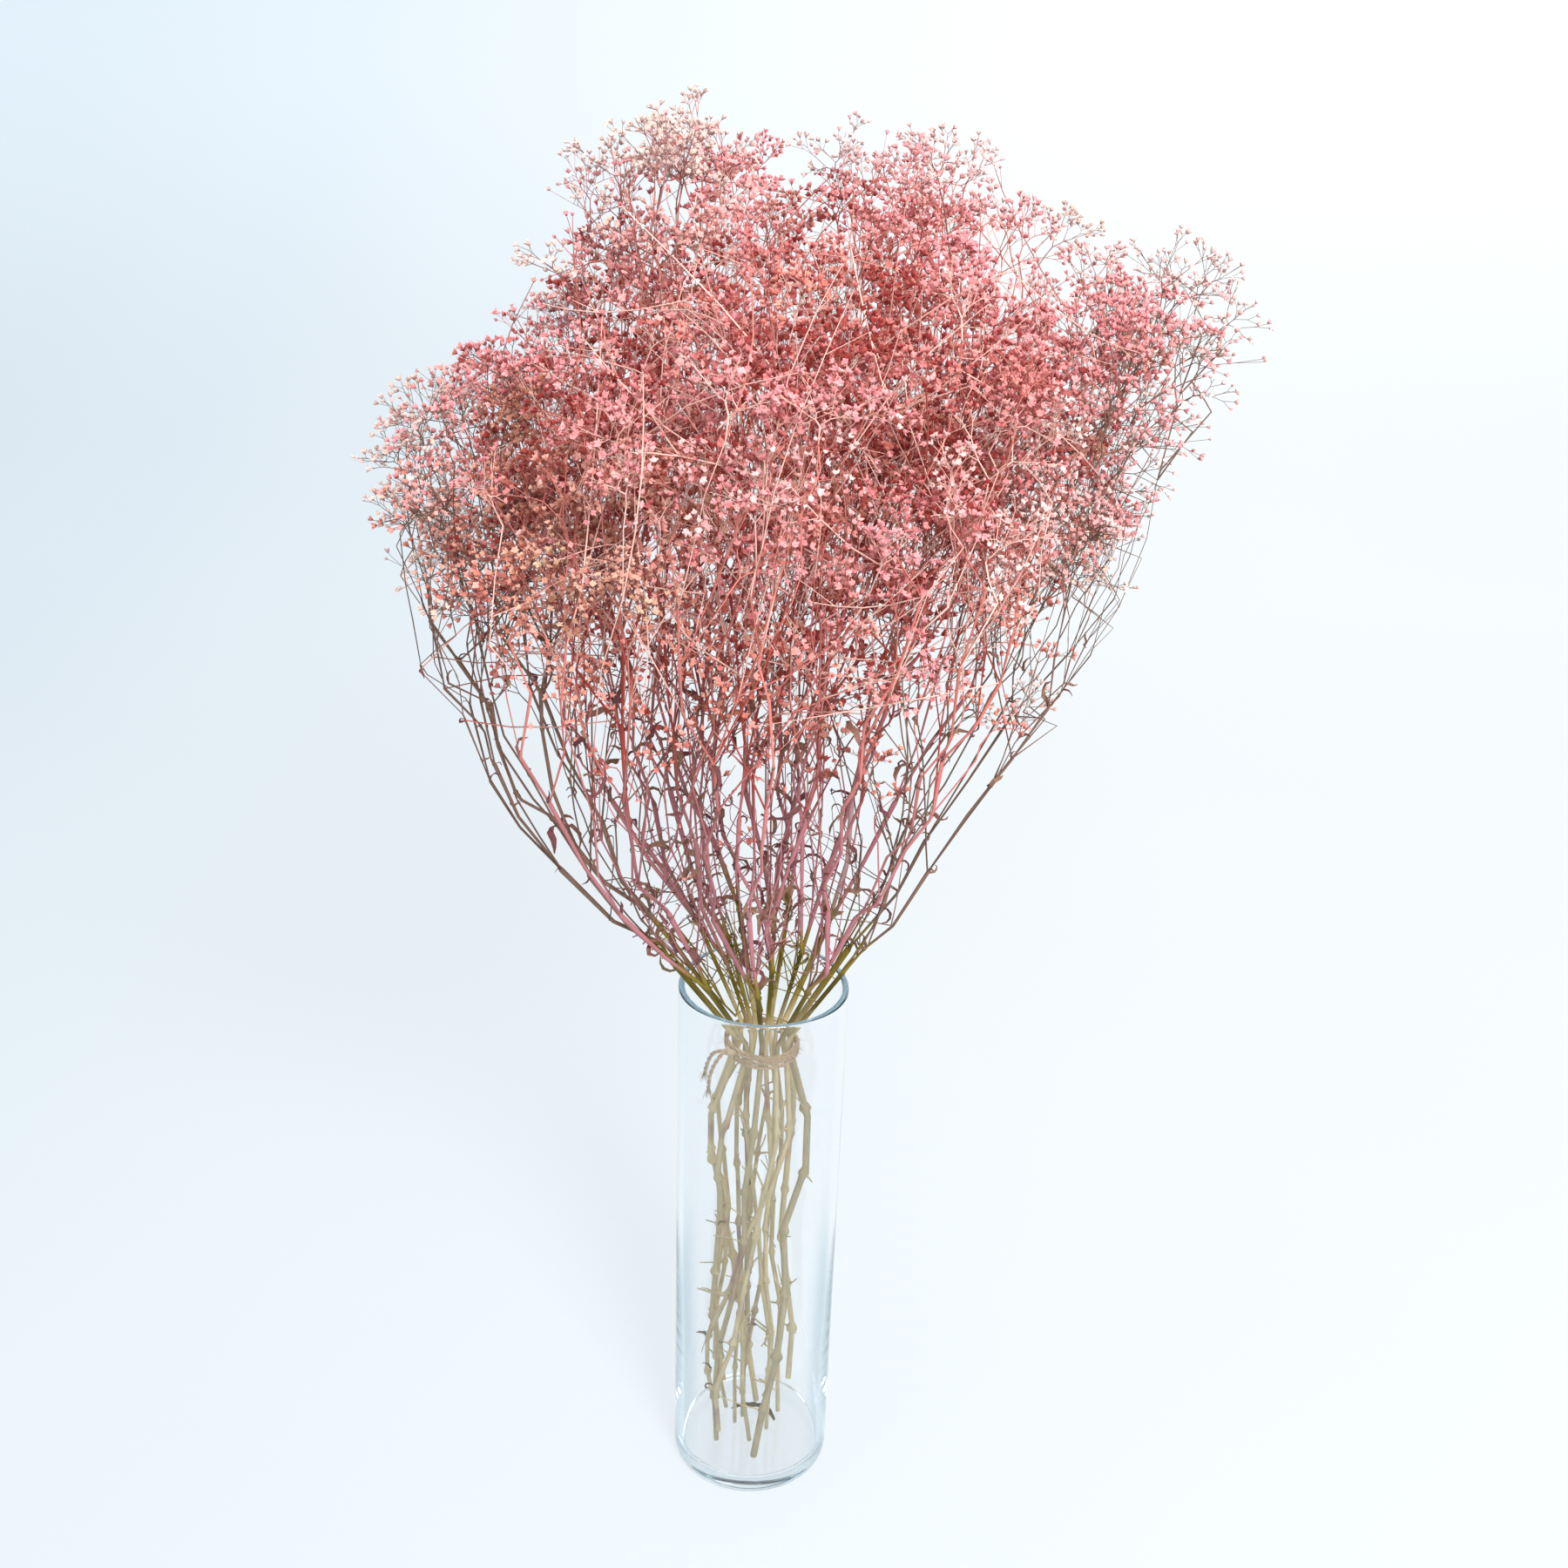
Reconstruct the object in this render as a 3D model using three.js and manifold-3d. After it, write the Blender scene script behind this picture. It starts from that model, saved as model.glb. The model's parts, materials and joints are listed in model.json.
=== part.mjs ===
// Dried gypsophila in a clear glass cylinder vase.
// Units are millimetres and +Z is up. The origin is the middle of the vase's foot, X runs to the
// right of the arrangement and Y to its back. Sixteen sprays stand in the vase, gathered by twine
// just below the rim. Each spray is one solid: a stem with swollen nodes, its forking branches,
// a few shrivelled leaves and the florets that the twigs end in.

import * as THREE from 'three';
import { mergeVertices } from 'three/addons/utils/BufferGeometryUtils.js';
import Module from 'manifold-3d';

const wasm = await Module();
wasm.setup();

// Vase
const VASE_RADIUS = 40;
const VASE_HEIGHT = 280;
const VASE_WALL = 3;
const VASE_FLOOR = 8;
const VASE_HEEL_RADIUS = 5;
const VASE_INNER_HEEL_RADIUS = 4;
const VASE_SEGMENTS = 40;
const VASE_ARC_STEPS = 2;

// Gap between pieces that touch
const TOUCH_GAP = 0.3;

// Sheaf of stems. Each row is a height, the half width and half depth that the outermost stems
// reach there, the sideways lean of the whole sheaf, and how far its outer stems are turned round
// the vase's axis, in degrees. The inner stems turn the other way.
const SHEAF = [
  { z: 8, width: 21, depth: 21, lean: 0, turn: -84 },
  { z: 60, width: 26, depth: 26, lean: 0, turn: -66 },
  { z: 110, width: 22, depth: 22, lean: 0, turn: -46 },
  { z: 152, width: 19, depth: 19, lean: 0, turn: -30 },
  { z: 198, width: 28, depth: 28, lean: 0, turn: -13 },
  { z: 249, width: 15.8, depth: 15.8, lean: 0, turn: 0 },
  { z: 281, width: 34.4, depth: 33.8, lean: 0.4, turn: 0 },
  { z: 330, width: 88, depth: 76, lean: -9, turn: 0 },
  { z: 372, width: 126, depth: 104, lean: -13, turn: 0 },
  { z: 417, width: 150, depth: 121, lean: -11, turn: 0 },
  { z: 460, width: 163, depth: 131, lean: -6, turn: 0 },
  { z: 530, width: 172, depth: 138, lean: 2, turn: 0 },
  { z: 600, width: 182, depth: 143, lean: 6, turn: 0 },
  { z: 670, width: 190, depth: 146, lean: 8, turn: 0 },
];
const INNER_TURN_RATIO = -1.25;

// Sprays. The angle is measured from +X towards +Y in degrees, foot is the height of the cut end,
// and the florets of the spray lie between low and top. The seed sets how its branches fork.
const OUTER_STEM = 0.92;
const OUTER_CROWN = 0.76;
const INNER_STEM = 0.42;
const INNER_CROWN = 0.36;
const SPRAYS = [
  { ring: 'outer', angle: 8, foot: 8.3, low: 500, top: 612, seed: 4 },
  { ring: 'outer', angle: 41, foot: 34, low: 500, top: 622, seed: 4 },
  { ring: 'outer', angle: 73, foot: 8.3, low: 505, top: 634, seed: 5 },
  { ring: 'outer', angle: 106, foot: 52, low: 500, top: 638, seed: 4 },
  { ring: 'outer', angle: 139, foot: 8.3, low: 485, top: 596, seed: 1 },
  { ring: 'outer', angle: 172, foot: 26, low: 472, top: 568, seed: 10 },
  { ring: 'outer', angle: 204, foot: 8.3, low: 474, top: 572, seed: 5 },
  { ring: 'outer', angle: 237, foot: 40, low: 486, top: 590, seed: 45 },
  { ring: 'outer', angle: 270, foot: 8.3, low: 494, top: 606, seed: 1 },
  { ring: 'outer', angle: 302, foot: 18, low: 490, top: 608, seed: 2 },
  { ring: 'outer', angle: 335, foot: 8.3, low: 496, top: 602, seed: 8 },
  { ring: 'inner', angle: 0, foot: 8.3, low: 500, top: 654, seed: 2 },
  { ring: 'inner', angle: 72, foot: 8.3, low: 510, top: 654, seed: 51 },
  { ring: 'inner', angle: 144, foot: 8.3, low: 505, top: 656, seed: 6 },
  { ring: 'inner', angle: 216, foot: 8.3, low: 500, top: 662, seed: 4 },
  { ring: 'inner', angle: 288, foot: 8.3, low: 500, top: 662, seed: 58 },
];

// Stems and branches
const STEM_RADIUS = 2.1;
const STEM_SIDES = 6;
const STEM_STEP = 32;
const TIE_REACH = 5;
const FRONT = new THREE.Vector3(0, -1, 0);
const UP = new THREE.Vector3(0, 0, 1);
const NODE_SWELLING = 1.28;
const TWIG_RADIUS = 0.66;
const TWIG_SIDES = 3;
const PIPE_EXPONENT = 0.34;
const CROWN_ROOT_HEIGHT = 296;
const FORK_SHARE_LOW = 0.2;
const FORK_SHARE_HIGH = 0.5;
const FORK_CLEARANCE = 14;
const LONG_BRANCH = 60;
const FORK_SEED = 1009;
const BRANCH_GAP = 0.5;
const FLORET_ROOM = 7;
const APEX_HEIGHT = 1.3;
const INCOMING_WEIGHT = 0.25;
const TWIST_LIMIT = 0.5;

// Florets
const FLORET_SEED = 4063;
const FLORET_TRIES = 60000;
const FLORET_SPACING = 17;
const FLORET_SIDE_SPACING = 10.5;
const FLORET_EDGE = 0.045;
const CROWN_DROP = 46;
const FLORET_RADIUS = 7;
const FLORET_NOTCH_RADIUS = 3.8;
const FLORET_HEIGHT = 8.4;
const FLORET_NOTCH_HEIGHT = 5;
const FLORET_NECK_RADIUS = 0.9;

// Shrivelled leaves: a keeled blade, its half widths at evenly spaced places from root to point
const LEAF_LENGTH = 21;
const LEAF_HALF_WIDTHS = [0.7, 2.1, 1.5, 1.7, 0.5];
const LEAF_THICKNESS = 0.9;
const LEAF_CURL = 115;
const LEAF_TWIST = 0.4;
const LEAVES_PER_SPRAY = 2;
const LEAF_RISE = 0.5;
const LEAF_LOWEST = 320;

// Stubs of side twigs broken off in the vase
const STUB_LENGTH = 6.5;
const STUB_RADIUS = 0.9;
const STUB_TIP_RADIUS = 0.6;
const STUB_NODE = 3;

// Twine: turns side by side round the sheaf, a knot and two loose ends. Each end's points are given
// by how far they stand out from the band's middle, how far up, and how far each goes aside.
const TWINE_HEIGHT = 249;
const TWINE_TURNS = 3;
const TWINE_PITCH = 2;
const TWINE_RADIUS = 1.15;
const TWINE_SEGMENTS = 24;
const TWINE_ARC = [-Math.PI / 3, 0, Math.PI / 3];
const TWINE_SIDES = 6;
const KNOT_ANGLE = 218;
const KNOT_RADIUS = 3;
const TWINE_ENDS = [
  { aside: 0, out: [1.6, 6, 8.4, 9.4], up: [0, -4, -13, -21] },
  { aside: -1.44, out: [1.6, 5.5, 8, 8.6], up: [0, 1, -5, -12] },
];

// Dry leaf that has dropped on to the vase's floor, lying in an arc between the stems' feet
const FALLEN_RADIUS = 14;
const FALLEN_START = 20;
const FALLEN_SWEEP = 118;
const FALLEN_HALF_WIDTHS = [0.5, 1.5, 2.1, 1.6, 1.9, 1.2, 0.4];
const FALLEN_THICKNESS = 0.8;
const FALLEN_LIFTS = [0, 0.2, 1.1, 0.4, 0, 1.3, 2.6];

// Park-Miller sequence of numbers between 0 and 1
function makeRandom(seed) {
  let state = seed;
  return () => {
    state = (state * 48271) % 2147483647;
    return state / 2147483647;
  };
}

// Value of one column of the sheaf at a height, on a smooth curve through its rows
function sheafValue(column, z) {
  let row = 0;
  while (row < SHEAF.length - 2 && z > SHEAF[row + 1].z) {
    row += 1;
  }
  const a = SHEAF[Math.max(row - 1, 0)];
  const b = SHEAF[row];
  const c = SHEAF[row + 1];
  const d = SHEAF[Math.min(row + 2, SHEAF.length - 1)];
  const span = c.z - b.z;
  const t = Math.min(Math.max((z - b.z) / span, 0), 1);
  const slopeB = ((c[column] - a[column]) / (c.z - a.z)) * span;
  const slopeC = ((d[column] - b[column]) / (d.z - b.z)) * span;
  const t2 = t * t;
  const t3 = t2 * t;
  return (
    (2 * t3 - 3 * t2 + 1) * b[column]
    + (t3 - 2 * t2 + t) * slopeB
    + (3 * t2 - 2 * t3) * c[column]
    + (t3 - t2) * slopeC
  );
}

// Place in the vase's frame of a point of the sheaf, which is a spot (a, b) of the unit disc that
// every cross-section is scaled from, and a height
function sheafPoint(spot, ring) {
  const ratio = ring === 'inner' ? INNER_TURN_RATIO : 1;
  const turn = THREE.MathUtils.degToRad(sheafValue('turn', spot.z) * ratio);
  const a = spot.a * Math.cos(turn) - spot.b * Math.sin(turn);
  const b = spot.a * Math.sin(turn) + spot.b * Math.cos(turn);
  return new THREE.Vector3(
    a * sheafValue('width', spot.z) + sheafValue('lean', spot.z),
    b * sheafValue('depth', spot.z),
    spot.z,
  );
}

// Where a spray's stem or the middle of its crown stands in the disc
function discSpot(spray, radius) {
  const angle = THREE.MathUtils.degToRad(spray.angle);
  return { a: radius * Math.cos(angle), b: radius * Math.sin(angle) };
}

// Florets

// Distance in the disc from a spot to the middle of a spray's crown
function crownDistance(spot, spray) {
  const crown = discSpot(spray, spray.ring === 'inner' ? INNER_CROWN : OUTER_CROWN);
  return Math.hypot(spot.a - crown.a, spot.b - crown.b);
}

// Places of all florets, evenly spaced, each in the crown that it is deepest in and clear of the
// crown's border, so that no two sprays cross
function scatterFlorets() {
  const random = makeRandom(FLORET_SEED);
  const florets = [];
  for (let attempt = 0; attempt < FLORET_TRIES; attempt += 1) {
    const spot = { a: 2 * random() - 1, b: 2 * random() - 1 };
    const level = random();
    if (Math.hypot(spot.a, spot.b) > 1) {
      continue;
    }
    const order = SPRAYS.map((spray, index) => [crownDistance(spot, spray), index]);
    order.sort((left, right) => left[0] - right[0]);
    if (order[1][0] - order[0][0] < 2 * FLORET_EDGE) {
      continue;
    }
    const spray = SPRAYS[order[0][1]];
    const top = spray.top - CROWN_DROP * (order[0][0] / 0.3) ** 2;
    spot.z = spray.low + (top - spray.low) * level;
    const place = sheafPoint(spot, spray.ring);
    const owner = order[0][1];
    const clear = florets.every((other) => (
      place.distanceTo(other.place) > FLORET_SPACING
      && (other.spray !== owner || forkDistance(spot, other) > FLORET_SIDE_SPACING)
    ));
    if (top > spray.low && clear) {
      florets.push({ ...spot, place, spray: owner });
    }
  }
  return florets;
}

// Branches

// Distance between two spots of the sheaf as it counts for the forking of branches
function forkDistance(one, two) {
  const across = SHEAF[SHEAF.length - 1].width;
  const back = SHEAF[SHEAF.length - 1].depth;
  return Math.hypot((one.a - two.a) * across, (one.b - two.b) * back);
}

// The two groups that florets fall into round the two that lie furthest apart
function splitFlorets(florets) {
  let widest = -1;
  let seeds = [];
  for (let first = 0; first < florets.length; first += 1) {
    for (let second = first + 1; second < florets.length; second += 1) {
      const distance = forkDistance(florets[first], florets[second]);
      if (distance > widest) {
        widest = distance;
        seeds = [florets[first], florets[second]];
      }
    }
  }
  const near = florets.filter((spot) => forkDistance(spot, seeds[0]) <= forkDistance(spot, seeds[1]));
  const far = florets.filter((spot) => !near.includes(spot));
  return [near, far];
}

function meanOf(florets, key) {
  return florets.reduce((sum, floret) => sum + floret[key], 0) / florets.length;
}

// Forks that carry a group of florets, from a node of the sheaf upwards. Both branches of a fork
// reach the next height in their own half of the group, so branches never cross.
function growForks(node, florets, random) {
  const share = FORK_SHARE_LOW + (FORK_SHARE_HIGH - FORK_SHARE_LOW) * random();
  const lowest = Math.min(...florets.map((floret) => floret.z));
  const headroom = FORK_CLEARANCE * (0.35 + 0.2 * Math.log2(florets.length));
  const z = Math.min(node.z + (meanOf(florets, 'z') - node.z) * share, lowest - headroom);
  for (const group of splitFlorets(florets)) {
    const fork = { a: meanOf(group, 'a'), b: meanOf(group, 'b'), z, count: group.length, children: [] };
    if (group.length > 1) {
      growForks(fork, group, random);
      node.children.push(fork);
    } else {
      const bend = florets.length > 2 ? { a: fork.a, b: fork.b, z } : null;
      node.children.push({ ...group[0], bend, count: 1, children: [] });
    }
  }
  node.children.sort((one, two) => two.count - one.count);
}

// Nodes of a spray's stem, from its cut end up to its first fork. It runs straight through the twine.
function stemNodes(spray) {
  const stem = discSpot(spray, spray.ring === 'inner' ? INNER_STEM : OUTER_STEM);
  const stretches = [
    [spray.foot, TWINE_HEIGHT - TIE_REACH],
    [TWINE_HEIGHT + TIE_REACH, CROWN_ROOT_HEIGHT],
  ];
  return stretches.flatMap(([low, high]) => {
    const steps = Math.round((high - low) / STEM_STEP);
    return Array.from({ length: steps + 1 }, (_, step) => ({ ...stem, z: low + ((high - low) * step) / steps }));
  });
}

// Places that a branch passes through from one node to the next, with a bend on a long one
function branchPath(from, node, ring) {
  const place = sheafPoint(node, ring);
  if (node.bend) {
    return [sheafPoint(node.bend, ring), place];
  }
  if (place.distanceTo(sheafPoint(from, ring)) <= LONG_BRANCH) {
    return [place];
  }
  const half = { a: (from.a + node.a) / 2, b: (from.b + node.b) / 2, z: (from.z + node.z) / 2 };
  return [sheafPoint(half, ring), place];
}

// Radius of a branch that carries a number of florets
function branchRadius(count) {
  return TWIG_RADIUS * count ** PIPE_EXPONENT;
}

// Straight stretches of all branches above a node, each with its ends and the node that it leads to
function listStretches(from, ring, start = sheafPoint(from, ring)) {
  return from.children.flatMap((node) => {
    const path = [start, ...branchPath(from, node, ring)];
    const stretches = path.slice(1).map((end, i) => ({ start: path[i], end, node }));
    return [...stretches, ...listStretches(node, ring, path[path.length - 1])];
  });
}

// Shortest distance between two straight stretches
function stretchDistance(one, two) {
  const d1 = one.end.clone().sub(one.start);
  const d2 = two.end.clone().sub(two.start);
  const gap = one.start.clone().sub(two.start);
  const a = d1.dot(d1);
  const b = d1.dot(d2);
  const c = d2.dot(d2);
  const e = d1.dot(gap);
  const f = d2.dot(gap);
  const clamp = (value) => Math.min(Math.max(value, 0), 1);
  const denominator = a * c - b * b;
  let s = denominator > 1e-9 ? clamp((b * f - c * e) / denominator) : 0;
  const t = c > 0 ? clamp((b * s + f) / c) : 0;
  s = a > 0 ? clamp((b * t - e) / a) : 0;
  return gap.addScaledVector(d1, s).addScaledVector(d2, -t).length();
}

// A floret that a node carries
function anyFloret(node) {
  return node.children.length === 0 ? node : anyFloret(node.children[node.children.length - 1]);
}

// Floret of a spray that stands in the way of another branch or whose branch runs into another,
// or nothing if all are clear of each other
function findClash(top, ring) {
  const stretches = listStretches(top, ring);
  for (const one of stretches) {
    const isFloret = one.node.children.length === 0;
    const tip = isFloret && one.end.distanceTo(sheafPoint(one.node, ring)) === 0;
    for (const two of stretches) {
      if (one.node === two.node || two.start === one.end || one.start === two.end) {
        continue;
      }
      const room = branchRadius(one.node.count) + branchRadius(two.node.count) + BRANCH_GAP;
      if (tip && stretchDistance({ start: one.end, end: one.end }, two) < FLORET_ROOM) {
        return one.node;
      }
      const siblings = one.start === two.start;
      const reach = siblings ? { start: one.end, end: one.end } : one;
      if (stretchDistance(reach, two) < room) {
        return anyFloret(one.node.count < two.node.count ? one.node : two.node);
      }
    }
  }
  return null;
}

// Fork that carries a spray's florets, less those that do not fit in clear of the rest
function growCrown(spray, root, florets) {
  let kept = florets;
  for (;;) {
    const top = { ...root, count: kept.length, children: [] };
    growForks(top, kept, makeRandom(FORK_SEED * spray.seed));
    const clash = findClash(top, spray.ring);
    if (!clash) {
      return top;
    }
    kept = kept.filter((floret) => floret.place !== clash.place);
  }
}

// Solids

// Closed mesh that grows by rings of points. A ring is the list of its points' numbers, in order
// anticlockwise as seen from where the solid grows to.
class GrowingSolid {
  constructor() {
    this.points = [];
    this.index = [];
  }

  add(point) {
    this.points.push(point);
    return this.points.length - 1;
  }

  // Faces between two rings with the same number of points, each split along its shorter diagonal
  bridge(lower, upper) {
    lower.forEach((a, k) => {
      const b = lower[(k + 1) % lower.length];
      const c = upper[(k + 1) % lower.length];
      const d = upper[k];
      if (this.points[a].distanceTo(this.points[c]) < this.points[b].distanceTo(this.points[d])) {
        this.index.push(a, b, c, a, c, d);
      } else {
        this.index.push(a, b, d, b, c, d);
      }
    });
  }

  // Faces from a ring to one of twice as many points, whose even points stand over the first's
  bridgeToDouble(lower, upper) {
    lower.forEach((start, k) => {
      const next = lower[(k + 1) % lower.length];
      const evenNext = upper[(2 * k + 2) % upper.length];
      this.index.push(start, next, upper[2 * k + 1], start, upper[2 * k + 1], upper[2 * k]);
      this.index.push(next, evenNext, upper[2 * k + 1]);
    });
  }

  // Faces from a ring to one of half as many points, which stand over the first's even points
  bridgeToHalf(lower, upper) {
    upper.forEach((end, k) => {
      const next = upper[(k + 1) % upper.length];
      const evenNext = lower[(2 * k + 2) % lower.length];
      this.index.push(lower[2 * k], lower[2 * k + 1], end, lower[2 * k + 1], next, end);
      this.index.push(lower[2 * k + 1], evenNext, next);
    });
  }

  // Flat face over the last ring, or under the first with its order reversed
  cap(ring) {
    for (let k = 1; k < ring.length - 1; k += 1) {
      this.index.push(ring[0], ring[k], ring[k + 1]);
    }
  }

  toManifold() {
    return new wasm.Manifold(new wasm.Mesh({
      numProp: 3,
      vertProperties: new Float32Array(this.points.flatMap((point) => point.toArray())),
      triVerts: new Uint32Array(this.index),
    }));
  }
}

// Manifold solid from a closed three.js geometry
function geometryManifold(geometry) {
  geometry.deleteAttribute('normal');
  geometry.deleteAttribute('uv');
  const merged = mergeVertices(geometry, 1e-4);
  return new wasm.Manifold(new wasm.Mesh({
    numProp: 3,
    vertProperties: new Float32Array(merged.attributes.position.array),
    triVerts: new Uint32Array(merged.index.array),
  }));
}

// Three.js geometry of a manifold solid, with flat faces
function toGeometry(manifold) {
  const mesh = manifold.getMesh();
  const geometry = new THREE.BufferGeometry();
  geometry.setAttribute('position', new THREE.BufferAttribute(mesh.vertProperties, 3));
  geometry.setIndex(new THREE.BufferAttribute(mesh.triVerts, 1));
  const flat = geometry.toNonIndexed();
  flat.computeVertexNormals();
  return flat;
}

// Points of a regular ring round a centre, across an axis, the first of them towards a direction
function ringPoints(centre, axis, towards, radius, count) {
  const across = towards.clone().projectOnPlane(axis).normalize();
  const up = axis.clone().cross(across);
  return Array.from({ length: count }, (_, k) => {
    const angle = (2 * Math.PI * k) / count;
    return centre.clone()
      .addScaledVector(across, radius * Math.cos(angle))
      .addScaledVector(up, radius * Math.sin(angle));
  });
}

// A ring of the solid, started at the point that stands best under the first of the corners
function matchRing(solid, ring, corners) {
  const middle = (points) => points.reduce((sum, point) => sum.add(point), new THREE.Vector3())
    .multiplyScalar(1 / points.length);
  const points = ring.map((number) => solid.points[number]);
  const lowerMiddle = middle(points);
  const upperMiddle = middle(corners);
  const every = ring.length / corners.length;
  const likeness = (shift) => corners.reduce((sum, corner, k) => {
    const arm = points[(k * every + shift) % ring.length].clone().sub(lowerMiddle).normalize();
    return sum + arm.dot(corner.clone().sub(upperMiddle).normalize());
  }, 0);
  const shifts = ring.map((_, shift) => shift);
  const best = shifts.reduce((one, two) => (likeness(two) > likeness(one) + 1e-9 ? two : one));
  return ring.map((_, k) => ring[(k + best) % ring.length]);
}

// Tube that tapers along a path, closed at both ends
function tubeSolid(points, radii, sides) {
  const solid = new GrowingSolid();
  const rings = points.map((point, i) => {
    const before = points[Math.max(i - 1, 0)];
    const after = points[Math.min(i + 1, points.length - 1)];
    const axis = after.clone().sub(before).normalize();
    const towards = new THREE.Vector3(axis.z, axis.x, -axis.y);
    return ringPoints(point, axis, towards, radii[i], sides).map((corner) => solid.add(corner));
  });
  solid.cap([...rings[0]].reverse());
  rings.slice(1).forEach((ring, i) => solid.bridge(rings[i], ring));
  solid.cap(rings[rings.length - 1]);
  return solid;
}

// Floret on the end of a twig: a three-sided cup whose rim runs through low notches and high,
// spread petal tips
function growFloret(solid, neck, base, axis) {
  const outward = neck.map((number) => sideways(base, solid.points[number], axis));
  const rim = [];
  outward.forEach((direction, k) => {
    const between = direction.clone().add(outward[(k + 1) % TWIG_SIDES]).normalize();
    rim.push(solid.add(base.clone()
      .addScaledVector(axis, FLORET_NOTCH_HEIGHT)
      .addScaledVector(direction, FLORET_NOTCH_RADIUS)));
    rim.push(solid.add(base.clone()
      .addScaledVector(axis, FLORET_HEIGHT)
      .addScaledVector(between, FLORET_RADIUS)));
  });
  solid.bridgeToDouble(neck, rim);
  solid.cap([rim[0], rim[2], rim[4]]);
  solid.cap([rim[0], rim[1], rim[2]]);
  solid.cap([rim[2], rim[3], rim[4]]);
  solid.cap([rim[4], rim[5], rim[0]]);
}

// Keeled blade of a shrivelled leaf that curls as it goes out from a face of a node
function growLeaf(solid, face, direction) {
  const heading = direction.clone().normalize();
  const across = new THREE.Vector3(-heading.y, heading.x, 0).normalize();
  const root = face.reduce((sum, number) => sum.add(solid.points[number]), new THREE.Vector3());
  const place = root.multiplyScalar(1 / face.length);
  const step = LEAF_LENGTH / LEAF_HALF_WIDTHS.length;
  let ring = face;
  LEAF_HALF_WIDTHS.forEach((halfWidth, k) => {
    place.addScaledVector(heading, step);
    const edge = across.clone().applyAxisAngle(heading, LEAF_TWIST * k);
    const keel = heading.clone().cross(edge);
    const next = [
      place.clone().addScaledVector(edge, halfWidth),
      place.clone().addScaledVector(keel, LEAF_THICKNESS),
      place.clone().addScaledVector(edge, -halfWidth),
    ];
    const numbers = next.map((corner) => solid.add(corner));
    solid.bridge(matchRing(solid, ring, next), numbers);
    ring = numbers;
    heading.applyAxisAngle(across, -THREE.MathUtils.degToRad(LEAF_CURL) / LEAF_HALF_WIDTHS.length);
  });
  solid.cap(ring);
}

// Thickness of a stem at a height, with every other step a swollen node, but none under the twine
function stemRadius(z, step) {
  const free = Math.abs(z - TWINE_HEIGHT) > TIE_REACH + 1;
  return STEM_RADIUS * (free && step % 2 === 1 ? NODE_SWELLING : 1);
}

// Direction across an axis from one point to another
function sideways(from, to, axis) {
  return to.clone().sub(from).projectOnPlane(axis).normalize();
}

// Direction that a node points in: halfway between the branches that fork off it, leaning a little
// to the way the branch came
function forkAxis(place, node, ring, incoming) {
  const sum = incoming.clone().multiplyScalar(INCOMING_WEIGHT);
  for (const child of node.children) {
    sum.add(branchPath(node, child, ring)[0].sub(place).normalize());
  }
  return sum.normalize();
}

// Corners of the ring at the upper end of a branch. It is turned so that one of its sides faces the
// node's side branch, as far as that twists the branch by no more than the given limit.
function endCorners(towards, place, axis, node, ring, limit) {
  if (node.children.length === 0) {
    return ringPoints(place, axis, towards, FLORET_NECK_RADIUS, TWIG_SIDES);
  }
  const side = sideways(place, branchPath(node, node.children[1], ring)[0], axis).negate();
  const start = towards.clone().projectOnPlane(axis).normalize();
  const full = Math.atan2(axis.dot(start.clone().cross(side)), start.dot(side));
  const third = (2 * Math.PI) / TWIG_SIDES;
  const twist = full - third * Math.round(full / third);
  start.applyAxisAngle(axis, THREE.MathUtils.clamp(twist, -limit, limit));
  return ringPoints(place, axis, start, branchRadius(node.count), TWIG_SIDES);
}

// Branch from a three-cornered face up to a node, and all that grows from that node. A node is a
// small pyramid on the branch's last ring, and what forks off it starts from the pyramid's faces.
function growBranch(solid, face, from, node, ring, leaves) {
  const path = branchPath(from, node, ring);
  const place = path[path.length - 1];
  let before = sheafPoint(from, ring);
  let lower = face;
  if (path.length > 1) {
    const bend = path[0].clone().sub(before).normalize().add(place.clone().sub(path[0]).normalize());
    const towards = solid.points[lower[0]].clone().sub(before);
    const corners = ringPoints(path[0], bend.normalize(), towards, branchRadius(node.count), TWIG_SIDES);
    const numbers = corners.map((corner) => solid.add(corner));
    solid.bridge(matchRing(solid, lower, corners), numbers);
    lower = numbers;
    [before] = path;
  }
  const incoming = place.clone().sub(before).normalize();
  const floret = node.children.length === 0;
  const axis = floret ? incoming : forkAxis(place, node, ring, incoming);
  const base = floret ? place.clone().addScaledVector(axis, -FLORET_HEIGHT / 2) : place;
  const towards = solid.points[lower[0]].clone().sub(before);
  const corners = endCorners(towards, base, axis, node, ring, TWIST_LIMIT);
  const upper = corners.map((corner) => solid.add(corner));
  solid.bridge(matchRing(solid, lower, corners), upper);
  if (floret) {
    growFloret(solid, upper, base, axis);
  } else {
    growNode(solid, upper, axis, node, ring, leaves);
  }
}

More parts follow.
